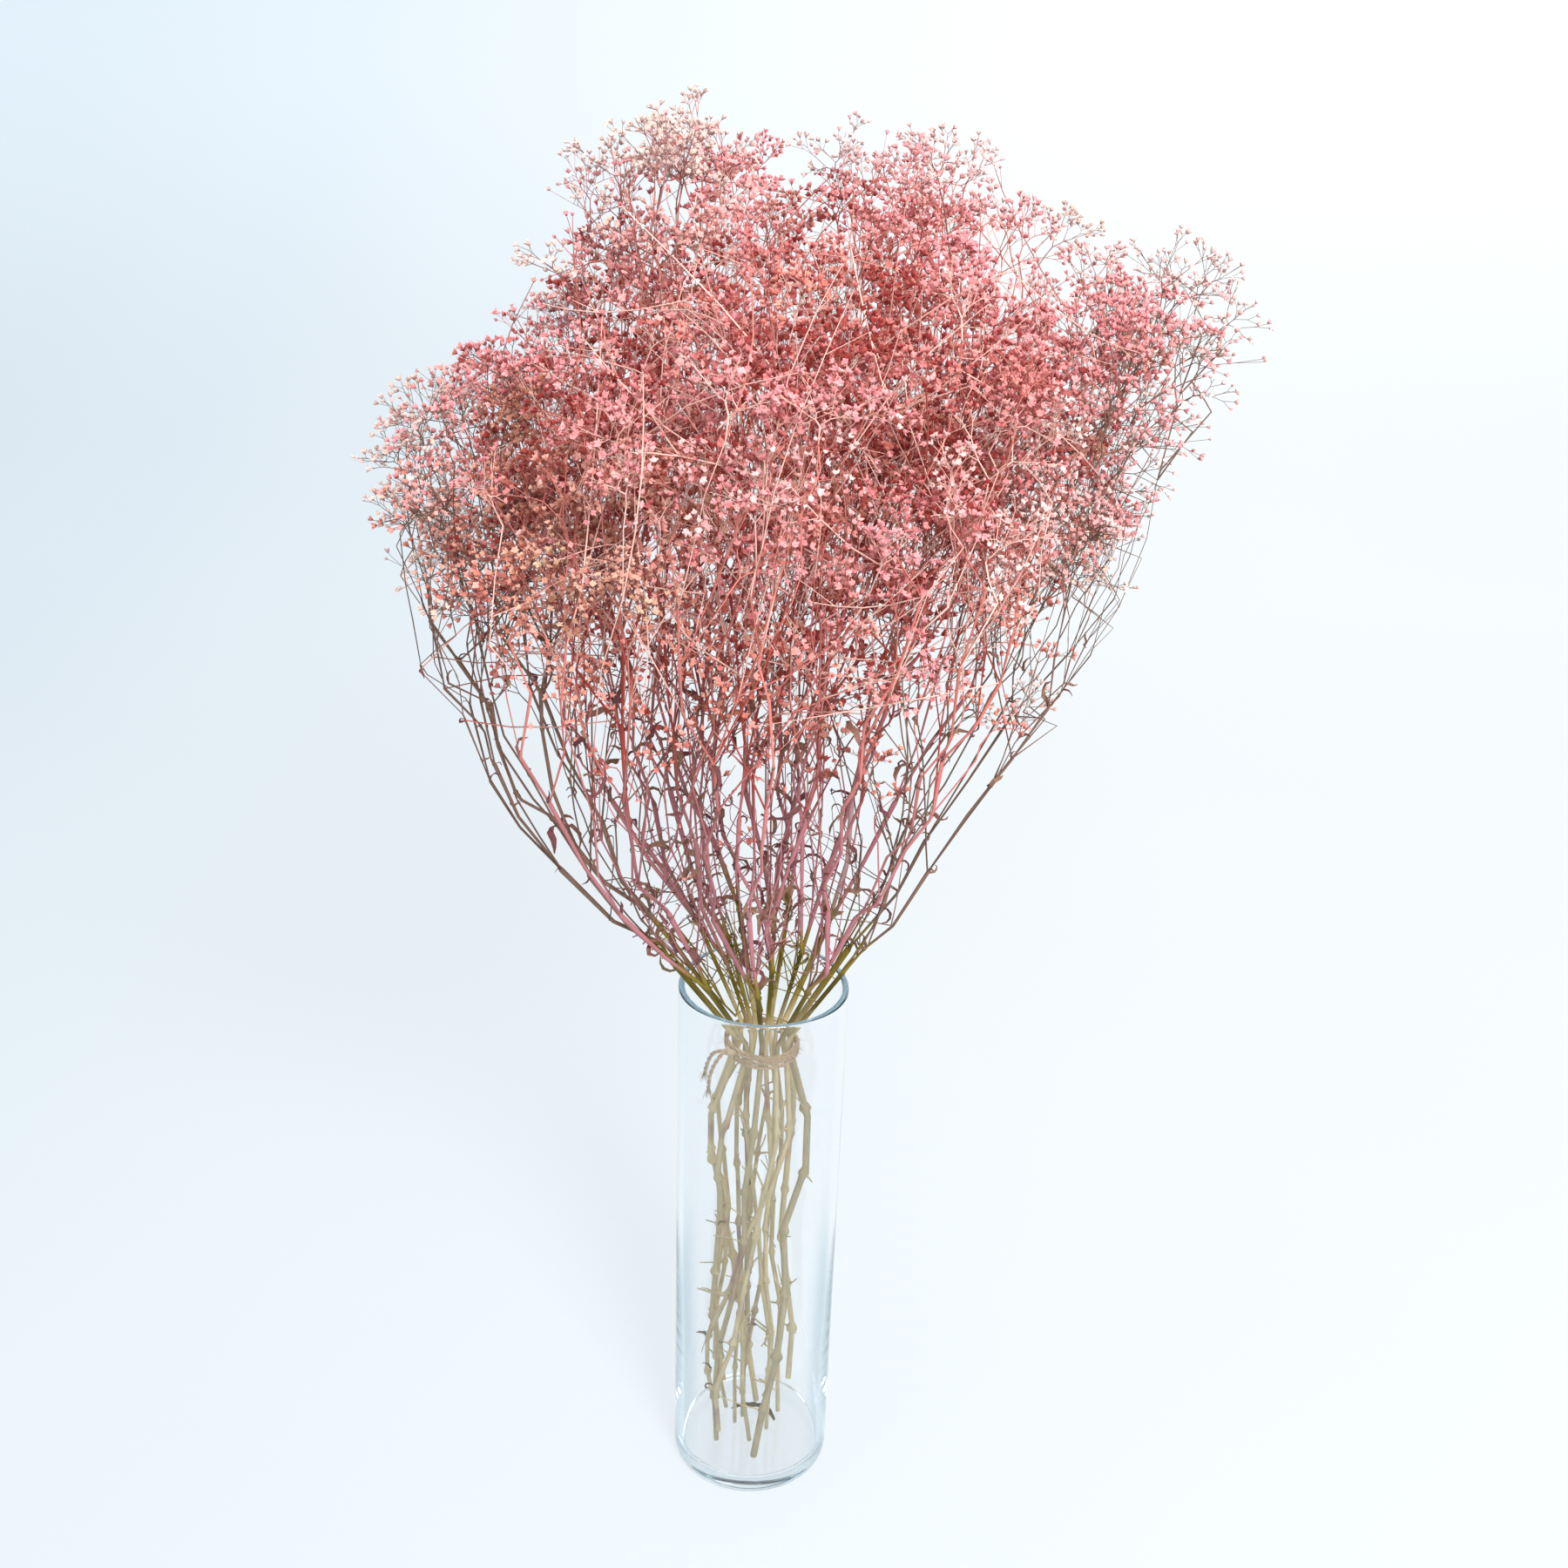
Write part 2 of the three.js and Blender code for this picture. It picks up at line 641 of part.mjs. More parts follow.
// Pyramid on a ring, with a branch on the face that lies best for it, and a leaf on the free face
// while there are leaves to place
function growNode(solid, base, axis, node, ring, leaves) {
  const place = sheafPoint(node, ring);
  const apex = solid.add(place.clone().addScaledVector(axis, APEX_HEIGHT * branchRadius(node.count)));
  const faces = base.map((number, k) => [number, base[(k + 1) % TWIG_SIDES], apex]);
  const outward = faces.map(([one, two]) => {
    const middle = solid.points[one].clone().add(solid.points[two]).multiplyScalar(0.5);
    return sideways(place, middle, axis);
  });
  const free = [0, 1, 2];
  [...node.children].reverse().forEach((child) => {
    const direction = sideways(place, branchPath(node, child, ring)[0], axis);
    const fit = (face) => outward[face].dot(direction);
    const best = free.reduce((one, two) => (fit(two) > fit(one) ? two : one));
    free.splice(free.indexOf(best), 1);
    growBranch(solid, faces[best], node, child, ring, leaves);
  });
  const leafy = leaves.left > 0 && node.z > LEAF_LOWEST;
  if (leafy) {
    leaves.left -= 1;
    growLeaf(solid, faces[free[0]], outward[free[0]].clone().addScaledVector(axis, LEAF_RISE));
  } else {
    solid.cap(faces[free[0]]);
  }
}

// One spray: a six-sided stem, cut level, up to its first fork, then the forking branches, and on
// the outer stems the stub of a side twig that has broken off
function buildSpray(spray, florets) {
  const solid = new GrowingSolid();
  const nodes = stemNodes(spray);
  const places = nodes.map((node) => sheafPoint(node, spray.ring));
  const top = growCrown(spray, nodes[nodes.length - 1], florets);
  const rings = [];
  places.slice(0, -1).forEach((place, i) => {
    const axis = i === 0 ? UP : places[i + 1].clone().sub(places[i - 1]).normalize();
    const corners = ringPoints(place, axis, FRONT, stemRadius(place.z, i), STEM_SIDES);
    rings.push(corners.map((corner) => solid.add(corner)));
  });
  solid.cap([...rings[0]].reverse());
  rings.slice(1).forEach((ring, i) => solid.bridge(rings[i], ring));
  const [beforeLast, last] = places.slice(-2);
  const topAxis = forkAxis(last, top, spray.ring, last.clone().sub(beforeLast).normalize());
  const corners = endCorners(FRONT, last, topAxis, top, spray.ring, Math.PI);
  const topRing = corners.map((corner) => solid.add(corner));
  solid.bridgeToHalf(matchRing(solid, rings[rings.length - 1], corners), topRing);
  growNode(solid, topRing, topAxis, top, spray.ring, { left: LEAVES_PER_SPRAY });
  const whole = solid.toManifold();
  if (spray.ring === 'inner') {
    return whole;
  }
  const node = places[STUB_NODE];
  const tip = node.clone().addScaledVector(new THREE.Vector3(node.x, node.y, 0).normalize(), STUB_LENGTH);
  tip.z += STUB_LENGTH;
  return whole.add(tubeSolid([node, tip], [STUB_RADIUS, STUB_TIP_RADIUS], TWIG_SIDES).toManifold());
}

// Glass cylinder with a thick floor, a rounded heel and a fire-polished rim
function buildVase() {
  const profile = new THREE.Path();
  const inner = VASE_RADIUS - VASE_WALL;
  profile.moveTo(0, 0);
  profile.lineTo(VASE_RADIUS - VASE_HEEL_RADIUS, 0);
  profile.absarc(VASE_RADIUS - VASE_HEEL_RADIUS, VASE_HEEL_RADIUS, VASE_HEEL_RADIUS, -Math.PI / 2, 0);
  profile.lineTo(VASE_RADIUS, VASE_HEIGHT - VASE_WALL / 2);
  profile.absarc(VASE_RADIUS - VASE_WALL / 2, VASE_HEIGHT - VASE_WALL / 2, VASE_WALL / 2, 0, Math.PI);
  profile.lineTo(inner, VASE_FLOOR + VASE_INNER_HEEL_RADIUS);
  profile.lineTo(inner - VASE_INNER_HEEL_RADIUS, VASE_FLOOR);
  profile.lineTo(0, VASE_FLOOR);
  const lathe = new THREE.LatheGeometry(profile.getPoints(VASE_ARC_STEPS), VASE_SEGMENTS);
  lathe.rotateX(Math.PI / 2);
  return geometryManifold(lathe);
}

// Twine tied round the sheaf: turns side by side in one band, a knot and two loose ends
function buildTwine() {
  const hole = OUTER_STEM * sheafValue('width', TWINE_HEIGHT + TIE_REACH) + STEM_RADIUS + TOUCH_GAP;
  const middle = hole / Math.cos(Math.PI / TWINE_SEGMENTS) + TWINE_RADIUS;
  const outside = [];
  const inside = [];
  for (let turn = 0; turn < TWINE_TURNS; turn += 1) {
    const height = (turn - (TWINE_TURNS - 1) / 2) * TWINE_PITCH;
    for (const angle of TWINE_ARC) {
      const across = TWINE_RADIUS * Math.cos(angle);
      const along = height + TWINE_RADIUS * Math.sin(angle);
      outside.push(new THREE.Vector2(middle + across, along));
      inside.unshift(new THREE.Vector2(middle - across, along));
    }
  }
  const band = new THREE.LatheGeometry([...outside, ...inside, outside[0]], TWINE_SEGMENTS);
  band.rotateX(Math.PI / 2);
  const solids = [geometryManifold(band)];
  const knot = new THREE.IcosahedronGeometry(KNOT_RADIUS, 1);
  knot.translate(middle + 1, 0, 0);
  solids.push(geometryManifold(knot));
  for (const end of TWINE_ENDS) {
    const points = end.out.map((out, i) => new THREE.Vector3(middle + out, end.aside * i, end.up[i]));
    solids.push(tubeSolid(points, points.map(() => TWINE_RADIUS), TWINE_SIDES).toManifold());
  }
  return solids.reduce((whole, solid) => whole.add(solid));
}

// Dry leaf on the vase's floor
function buildFallenLeaf() {
  const steps = FALLEN_HALF_WIDTHS.length - 1;
  const solid = new GrowingSolid();
  const rings = FALLEN_HALF_WIDTHS.map((halfWidth, i) => {
    const angle = THREE.MathUtils.degToRad(FALLEN_START + (FALLEN_SWEEP * i) / steps);
    const outward = new THREE.Vector3(Math.cos(angle), Math.sin(angle), 0);
    const place = outward.clone().multiplyScalar(FALLEN_RADIUS);
    place.z = VASE_FLOOR + TOUCH_GAP + FALLEN_LIFTS[i];
    const lift = new THREE.Vector3(0, 0, FALLEN_THICKNESS);
    return [
      place.clone().addScaledVector(outward, halfWidth),
      place.clone().addScaledVector(outward, -halfWidth),
      place.clone().addScaledVector(outward, -halfWidth).add(lift),
      place.clone().addScaledVector(outward, halfWidth).add(lift),
    ].map((corner) => solid.add(corner));
  });
  solid.cap([...rings[0]].reverse());
  rings.slice(1).forEach((ring, i) => solid.bridge(rings[i], ring));
  solid.cap(rings[rings.length - 1]);
  return solid.toManifold();
}

// Finishes
const glass = { color: 0xdfeef4, roughness: 0.04, metalness: 0, transparent: true, opacity: 0.35 };
const dyedPink = { color: 0xd98783, roughness: 0.9, metalness: 0 };
const jute = { color: 0xb79a75, roughness: 0.95, metalness: 0 };
const driedLeaf = { color: 0x8f7b5c, roughness: 0.9, metalness: 0 };

function addPart(group, name, manifold, finish) {
  const mesh = new THREE.Mesh(toGeometry(manifold), new THREE.MeshStandardMaterial(finish));
  mesh.name = name;
  group.add(mesh);
  return mesh;
}

const arrangement = new THREE.Group();
addPart(arrangement, 'vase', buildVase(), glass);

const twine = addPart(arrangement, 'twine', buildTwine(), jute);
twine.position.z = TWINE_HEIGHT;
twine.rotation.z = THREE.MathUtils.degToRad(KNOT_ANGLE);

const florets = scatterFlorets();
SPRAYS.forEach((spray, index) => {
  const own = florets.filter((floret) => floret.spray === index);
  const name = `spray_${String(index + 1).padStart(2, '0')}`;
  addPart(arrangement, name, buildSpray(spray, own), dyedPink);
});

addPart(arrangement, 'fallen_leaf', buildFallenLeaf(), driedLeaf);

export default arrangement;
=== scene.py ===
"""Dried gypsophila in a clear glass cylinder vase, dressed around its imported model.

The sheaf of sprays grows by the same rule as the solids: a smooth sheaf of stems, florets scattered
in its crown, and forks that join them. Each floret of the solids becomes a whole sprig of small
florets here. Lengths are millimetres until a mesh is made, and metres from there on.
"""

import sys

import json
import logging
import random
from dataclasses import dataclass, field
from enum import Enum
from math import cos, dist, exp, floor, hypot, log2, pi, radians, sin
from typing import Any, Sequence

import bpy
import numpy as np
from bpy.types import Collection, Material, Mesh, Node, NodeSocket, NodeTree, Object
from mathutils import Matrix, Vector

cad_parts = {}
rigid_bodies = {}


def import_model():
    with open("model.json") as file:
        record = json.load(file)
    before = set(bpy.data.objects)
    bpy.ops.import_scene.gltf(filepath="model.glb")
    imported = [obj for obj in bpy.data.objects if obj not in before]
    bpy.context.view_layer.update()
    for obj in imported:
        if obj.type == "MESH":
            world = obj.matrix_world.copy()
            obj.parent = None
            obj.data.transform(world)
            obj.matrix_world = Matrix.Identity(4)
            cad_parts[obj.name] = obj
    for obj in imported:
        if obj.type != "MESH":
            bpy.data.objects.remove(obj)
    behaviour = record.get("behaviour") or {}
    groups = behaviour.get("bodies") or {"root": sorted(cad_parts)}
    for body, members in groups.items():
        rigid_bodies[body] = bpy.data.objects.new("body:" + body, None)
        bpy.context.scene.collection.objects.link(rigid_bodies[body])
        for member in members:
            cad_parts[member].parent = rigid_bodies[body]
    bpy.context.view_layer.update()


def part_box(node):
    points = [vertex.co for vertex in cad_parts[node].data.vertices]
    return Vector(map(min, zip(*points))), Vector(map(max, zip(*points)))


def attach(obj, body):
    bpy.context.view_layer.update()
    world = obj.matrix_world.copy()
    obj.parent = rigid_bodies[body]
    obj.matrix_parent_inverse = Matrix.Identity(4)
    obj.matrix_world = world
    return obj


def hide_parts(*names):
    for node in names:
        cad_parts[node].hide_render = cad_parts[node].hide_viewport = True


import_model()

LOG = logging.getLogger("gypsophila")
MM = 0.001
BODY = "root"
Array = np.ndarray
UP = np.array([0.0, 0.0, 1.0])


def srgb(code: str) -> tuple[float, float, float, float]:
    """Gives the linear colour of a screen colour.

    Args:
        code: six hexadecimal digits.

    Returns:
        Linear red, green, blue and alpha.
    """
    channels = [int(code[i : i + 2], 16) / 255 for i in (0, 2, 4)]
    linear = [c / 12.92 if c <= 0.04045 else ((c + 0.055) / 1.055) ** 2.4 for c in channels]
    return (*linear, 1.0)


def unit(vector: Array) -> Array:
    """Gives the direction of a vector."""
    return vector / max(float(np.linalg.norm(vector)), 1e-12)


def square_to(axis: Array) -> tuple[Array, Array]:
    """Gives a square pair.

    Args:
        axis: a direction.

    Returns:
        Two directions that stand square to the axis and to each other.
    """
    helper = np.array([1.0, 0.0, 0.0]) if abs(axis[0]) < 0.8 else np.array([0.0, 1.0, 0.0])
    first = unit(np.cross(axis, helper))
    return first, np.cross(axis, first)


def around(pair: tuple[Array, Array], angle: float) -> Array:
    """Gives the direction at an angle from the first of a square pair towards the second."""
    return pair[0] * cos(angle) + pair[1] * sin(angle)


def on_circle(radius: float, angle: float) -> tuple[float, float]:
    """Gives a place on a circle."""
    return radius * cos(angle), radius * sin(angle)


def turned(a: float, b: float, angle: float) -> tuple[float, float]:
    """Turns a pair of coordinates about the origin."""
    return a * cos(angle) - b * sin(angle), a * sin(angle) + b * cos(angle)


def clamp(value: float) -> float:
    """Keeps a number between 0 and 1."""
    return min(1.0, max(0.0, value))


def any_way(draw: random.Random) -> Array:
    """Gives a random direction."""
    return unit(np.array([draw.gauss(0, 1) for _ in range(3)]))


def read_table(rows: Sequence[Sequence[float]], at: Any, column: int = 1) -> Any:
    """Reads a table's column at a value of its first one, on straight lines between the rows."""
    return np.interp(at, [row[0] for row in rows], [row[column] for row in rows])


# Meshes


def point_mesh(name: str, points: Any, edges: Any = (), faces: Any = ()) -> Mesh:
    """Makes a mesh.

    Args:
        name: its name.
        points: its points, in millimetres.
        edges: its edges, where it has no faces.
        faces: its faces.

    Returns:
        The mesh.
    """
    mesh = bpy.data.meshes.new(name)
    mesh.from_pydata(np.array(points) * MM, edges, faces)
    return mesh


def write_columns(mesh: Mesh, columns: dict[str, Any]) -> None:
    """Writes numbers on to a mesh's points.

    Args:
        mesh: the mesh.
        columns: one number for each point, by name.
    """
    for name, values in columns.items():
        attribute = mesh.attributes.new(name, "FLOAT", "POINT")
        attribute.data.foreach_set("value", np.asarray(values, np.float32))


def tube_faces(sides: int, steps: int) -> list[tuple[int, ...]]:
    """Gives the faces of an open tube.

    Args:
        sides: points in each of its rings.
        steps: how many rings follow the first.

    Returns:
        Faces of four points.
    """
    pairs = [(sides * k + s, sides * k + (s + 1) % sides) for k in range(steps) for s in range(sides)]
    return [(a, b, b + sides, a + sides) for a, b in pairs]


def show(mesh: Mesh, material: Material) -> Object:
    """Puts a mesh into the scene, with smooth shading.

    Args:
        mesh: the mesh, which gives the object its name.
        material: its material.

    Returns:
        The object.
    """
    mesh.shade_smooth()
    mesh.materials.append(material)
    obj = bpy.data.objects.new(mesh.name, mesh)
    bpy.context.scene.collection.objects.link(obj)
    return obj


# Node trees


class Graph:
    """A node tree that is written in Python, for materials and for geometry."""

    def __init__(self, tree: NodeTree) -> None:
        """Wraps a node tree."""
        self.tree = tree

    def node(
        self, kind: str, settings: dict[str, Any] | None = None, inputs: dict[Any, Any] | None = None
    ) -> Node:
        """Makes a node.

        Args:
            kind: the node's type.
            settings: its properties, such as a Math node's operation, which are set first.
            inputs: values or sockets by the input's identifier, name or number.

        Returns:
            The node.
        """
        made = self.tree.nodes.new(kind)
        for name, value in (settings or {}).items():
            setattr(made, name, value)
        for key, value in (inputs or {}).items():
            self.feed(self.socket(made.inputs, key), value)
        return made

    @staticmethod
    def socket(sockets: Any, key: Any) -> NodeSocket:
        """Finds a socket.

        Args:
            sockets: a node's inputs or outputs.
            key: the socket's number, identifier or name.

        Returns:
            The socket.
        """
        if isinstance(key, int):
            return sockets[key]
        by_identifier = [s for s in sockets if s.identifier == key]
        return by_identifier[0] if by_identifier else sockets[key]

    def feed(self, socket: NodeSocket, value: Any) -> None:
        """Links a socket, or sets its value.

        Args:
            socket: the socket.
            value: a number, a screen colour, a name, a data-block, or another socket.
        """
        source = value.socket if isinstance(value, Value) else value
        if isinstance(source, NodeSocket):
            self.tree.links.new(source, socket)
        elif isinstance(source, str) and socket.type == "RGBA":
            socket.default_value = srgb(source)
        else:
            socket.default_value = source

    def mix(self, share: Any, first: Any, second: Any) -> NodeSocket:
        """Mixes two colours."""
        made = self.node("ShaderNodeMix", {"data_type": "RGBA"}, {0: share, 6: first, 7: second})
        return made.outputs[2]


class Value:
    """A socket that holds a number, so that sums on it are written as Python."""

    def __init__(self, graph: Graph, socket: NodeSocket) -> None:
        """Wraps a socket of a graph."""
        self.graph = graph
        self.socket = socket

    def _sum(self, operation: str, first: Any, second: Any) -> "Value":
        """Puts two numbers in a Math node."""
        made = self.graph.node("ShaderNodeMath", {"operation": operation}, {0: first, 1: second})
        return Value(self.graph, made.outputs[0])

    def __add__(self, other: Any) -> "Value":
        """Adds."""
        return self._sum("ADD", self, other)

    __radd__ = __add__

    def __sub__(self, other: Any) -> "Value":
        """Takes away."""
        return self._sum("SUBTRACT", self, other)

    def __rsub__(self, other: Any) -> "Value":
        """Is taken away."""
        return self._sum("SUBTRACT", other, self)

    def __mul__(self, other: Any) -> "Value":
        """Multiplies."""
        return self._sum("MULTIPLY", self, other)

    __rmul__ = __mul__

    def band(self, low: float, high: float) -> "Value":
        """Turns the number into a smooth rise.

        Args:
            low: where the rise begins, at 0.
            high: where it ends, at 1.

        Returns:
            The rise.
        """
        inputs = {"Value": self, "From Min": low, "From Max": high}
        made = self.graph.node("ShaderNodeMapRange", {"interpolation_type": "SMOOTHSTEP"}, inputs)
        return Value(self.graph, made.outputs[0])


class Surface(Graph):
    """The node tree of one material, with what the finishes share."""

    def __init__(self, name: str) -> None:
        """Starts a material.

        Args:
            name: the material's name.
        """
        self.material = bpy.data.materials.new(name)
        self.material.use_nodes = True
        super().__init__(self.material.node_tree)
        self.tree.nodes.clear()
        self.place = self.node("ShaderNodeTexCoord").outputs["Object"]

    def noise(
        self, scale: float, detail: float = 2.0, stretch: tuple[float, ...] = (1, 1, 1), shift: float = 0.0
    ) -> Value:
        """Gives noise on the object's own coordinates.

        Args:
            scale: how fine it is.
            detail: how many finer layers it has.
            stretch: what each coordinate is multiplied by.
            shift: what each coordinate is moved by.

        Returns:
            A value from 0 to 1.
        """
        mapping = {"Vector": self.place, "Scale": stretch, "Location": (shift, shift, shift)}
        at = self.node("ShaderNodeMapping", {}, mapping).outputs[0]
        made = self.node("ShaderNodeTexNoise", {}, {"Vector": at, "Scale": scale, "Detail": detail})
        return Value(self, made.outputs["Fac"])

    def axis(self, name: str) -> Value:
        """Gives one of the object's coordinates, in metres."""
        made = self.node("ShaderNodeSeparateXYZ", {}, {0: self.place})
        return Value(self, made.outputs[name])

    def attribute(self, name: str) -> Value:
        """Gives a number that the mesh holds."""
        made = self.node("ShaderNodeAttribute", {"attribute_name": name})
        return Value(self, made.outputs["Fac"])

    def shade(self, colour: Any, amount: Any) -> NodeSocket:
        """Multiplies a colour by a number that varies."""
        made = self.node("ShaderNodeVectorMath", {"operation": "SCALE"}, {0: colour, "Scale": amount})
        return made.outputs[0]

    def bump(self, height: Value, depth: float, strength: float) -> NodeSocket:
        """Turns a height into a bent normal."""
        made = self.node("ShaderNodeBump", {}, {"Height": height, "Distance": depth, "Strength": strength})
        return made.outputs[0]

    def finish(
        self, colour: Any, roughness: Any, others: dict[str, Any], volume: Any = None
    ) -> Material:
        """Ends the material in a Principled shader.

        Args:
            colour: its base colour.
            roughness: its roughness.
            others: its other inputs, by name.
            volume: what fills the piece, where the light in it fades.

        Returns:
            The material.
        """
        inputs = {"Base Color": colour, "Roughness": roughness} | others
        ends = {"Surface": self.node("ShaderNodeBsdfPrincipled", {}, inputs).outputs[0]}
        self.node("ShaderNodeOutputMaterial", {}, ends | ({"Volume": volume} if volume else {}))
        return self.material


# Finishes


@dataclass(frozen=True)
class DyedPetals:
    """Papery florets, dyed coral with spots of peach, cream and tan, with painted shade that darkens them
    deep inside the crown and painted light that pales them at its outside.
    """

    deep: str = "A22E29"
    coral: str = "F69584"
    rose: str = "F2979B"
    peach: str = "F2C3BD"
    cream: str = "F2D5CE"
    tan: str = "CCA680"
    calyx: str = "8F3F38"
    dry: str = "9E8480"

    def make(self) -> Material:
        """Builds the material.

        Returns:
            The material.
        """
        s = Surface("dyed_petals")
        tone, rim, faded, dried = (s.attribute(name) for name in ("tone", "rim", "faded", "dry"))
        # Noise spots of lighter and darker dye; where they darken florets to deep red they also paint shade
        # in recesses.
        dye_and_shade_patches = s.noise(14, 2.0)
        height = s.axis("Z").band(0.43, 0.58) * 0.3 - 0.17
        bright = s.mix((s.noise(9, 1.0, shift=3.0) + height).band(0.4, 0.6), self.coral, self.rose)
        # faded sets these mixes: low gives deep red, from random dye spots and from painted shade deep inside
        # the crown; high gives peach and cream, from paler dye and from painted light at the crown's outside.
        dye = s.mix((faded + tone * 0.35 + dye_and_shade_patches * 1.4).band(0.25, 0.82), self.deep, bright)
        pale = s.mix((faded + tone * 0.4).band(0.4, 1.0), self.peach, self.cream)
        petals = s.mix((dye_and_shade_patches * 0.8 + tone * 0.12 + faded * 0.8).band(0.5, 1.05), dye, pale)
        petals = s.mix(dried * (0.55 + tone * 0.45), petals, self.tan)
        # Petal tips lifted towards cream: their own paler colour, brightened further as a painted highlight.
        lit = s.mix(rim.band(0.6, 1.0) * (0.06 + tone * 0.34), petals, self.cream)
        # The calyx turns grey where faded is high: partly paler dye, partly painted light at the crown's
        # outside.
        calyx = s.mix(faded.band(0.0, 0.5), self.calyx, self.dry)
        colour = s.mix(rim.band(0.66, 0.12), lit, calyx)
        shaded = s.shade(colour, tone * 0.28 + 0.84)
        crepe = s.bump(s.noise(2600, 2.0), 0.0002, 0.6)
        return s.finish(shaded, 0.85 - rim * 0.15, {"Specular IOR Level": 0.25, "Normal": crepe})


@dataclass(frozen=True)
class DyedBark:
    """Stems: straw in the glass, olive at the rim, and dyed dusty pink above it; in the crown the twigs carry
    painted shade in deep red inside, painted light in light peach on a share of them, and mauve painted shade
    on the skyline against the bright backdrop.
    """

    straw: str = "DECDA1"
    olive: str = "8C7826"
    brown: str = "7E6152"
    dusty: str = "B6767A"
    coral: str = "CB776B"
    knob: str = "BF9A86"
    deep: str = "A03E32"
    twig: str = "F8C5B7"
    mauve: str = "A98C8D"
    straw_top: float = 0.235
    olive_top: float = 0.285
    dye_line: float = 0.306
    crown: float = 0.47

    def make(self) -> Material:
        """Builds the material.

        Returns:
            The material.
        """
        s = Surface("dyed_bark")
        tone, undyed, faded = (s.attribute(name) for name in ("tone", "undyed", "faded"))
        height = s.axis("Z") + (s.noise(55, 3.0) - 0.5) * 0.05
        knobbed = s.mix(s.noise(38, 3.0, shift=1.0).band(0.56, 0.74), self.straw, self.knob)
        lower = s.mix(height.band(self.straw_top, self.olive_top), knobbed, self.olive)
        pink = s.mix(height.band(self.dye_line + 0.05, self.crown), self.dusty, self.coral)
        # Painted light and shade on the crown's twigs, by faded: deep red inside as painted shade, light
        # peach as painted light, and mauve as painted shade on the skyline against the bright backdrop.
        pink = s.mix(faded.band(-0.15, -0.9) * height.band(0.37, 0.43), pink, self.deep)
        pink = s.mix(faded.band(-1.05, -1.7) * height.band(0.41, 0.48), pink, self.twig)
        pink = s.mix(faded.band(0.1, 0.7), pink, self.mauve)
        dyed = s.mix((undyed + s.noise(24, 2.0) * 0.5 - 0.25).band(0.3, 0.75), pink, self.brown)
        colour = s.mix(height.band(self.dye_line - 0.008, self.dye_line + 0.012), lower, dyed)
        streaks = s.noise(420, 3.0, stretch=(1, 1, 0.12))
        shaded = s.shade(colour, streaks * 0.4 + tone * 0.5 + 0.54)
        grooves = s.bump(streaks, 0.0003, 0.7)
        return s.finish(shaded, 0.6 + streaks * 0.3, {"Specular IOR Level": 0.3, "Normal": grooves})


@dataclass(frozen=True)
class DryLeaf:
    """Shrivelled leaves, brown to dark maroon, olive below the rim, with blotches."""

    maroon: str = "6E3F42"
    brown: str = "8A6A55"
    olive: str = "7D7148"
    olive_top: float = 0.3

    def make(self) -> Material:
        """Builds the material.

        Returns:
            The material.
        """
        s = Surface("dry_leaf")
        dyed = s.mix(s.attribute("tone").band(0.2, 0.9), self.maroon, self.brown)
        height = s.axis("Z") + (s.noise(40, 2.0) - 0.5) * 0.02
        colour = s.mix(height.band(self.olive_top - 0.01, self.olive_top + 0.01), self.olive, dyed)
        blotches = s.noise(340, 4.0)
        shaded = s.shade(colour, blotches * 0.8 + 0.6)
        wrinkles = s.bump(blotches, 0.0004, 0.8)
        return s.finish(shaded, 0.65 + blotches * 0.25, {"Specular IOR Level": 0.3, "Normal": wrinkles})


@dataclass(frozen=True)
class JuteFibre:
    """Twine of natural jute, its strands streaked along their twist."""

    light: str = "F6E4C8"
    dark: str = "CDAE88"

    def make(self) -> Material:
        """Builds the material.

        Returns:
            The material.
        """
        s = Surface("jute_fibre")
        fibres = s.noise(900, 4.0, stretch=(1, 1, 2.5))
        colour = s.mix((fibres * 0.8 + s.attribute("tone") * 0.3).band(0.25, 0.8), self.dark, self.light)
        furrows = s.bump(fibres, 0.0004, 0.8)
        return s.finish(colour, 0.8 + fibres * 0.2, {"Specular IOR Level": 0.2, "Normal": furrows})


@dataclass(frozen=True)
class ClearGlass:
    """Soda-lime glass, clear, with the faint waviness of a blown wall and blue where it is deep, and a
    painted blue-grey band where the lower wall is seen edge-on.
    """

    tint: str = "FDFEFF"
    deep: str = "8FC3D2"
    depth: float = 3.4
    index: float = 1.5
    side: str = "BAD2DD"
    grazing_band_top: float = 0.16

    def make(self) -> Material:
        """Builds the material.

        Returns:
            The material.
        """
        s = Surface("clear_glass")
        waves = s.bump(s.noise(14, 1.0, stretch=(1, 1, 0.4)), 0.0006, 0.25)
        inside = s.node("ShaderNodeVolumeAbsorption", {}, {"Color": self.deep, "Density": self.depth})
        # Painted reflection: blue-grey tint where the thick lower wall is seen edge-on, standing in for
        # darker surroundings.
        facing = Value(s, s.node("ShaderNodeLayerWeight", {}, {"Blend": 0.5}).outputs["Facing"])
        thick = s.axis("Z").band(self.grazing_band_top, self.grazing_band_top - 0.05)
        colour = s.mix(facing.band(0.45, 0.8) * thick, self.tint, self.side)
        others = {"IOR": self.index, "Transmission Weight": 1.0, "Normal": waves}
        return s.finish(colour, 0.0, others, inside.outputs[0])


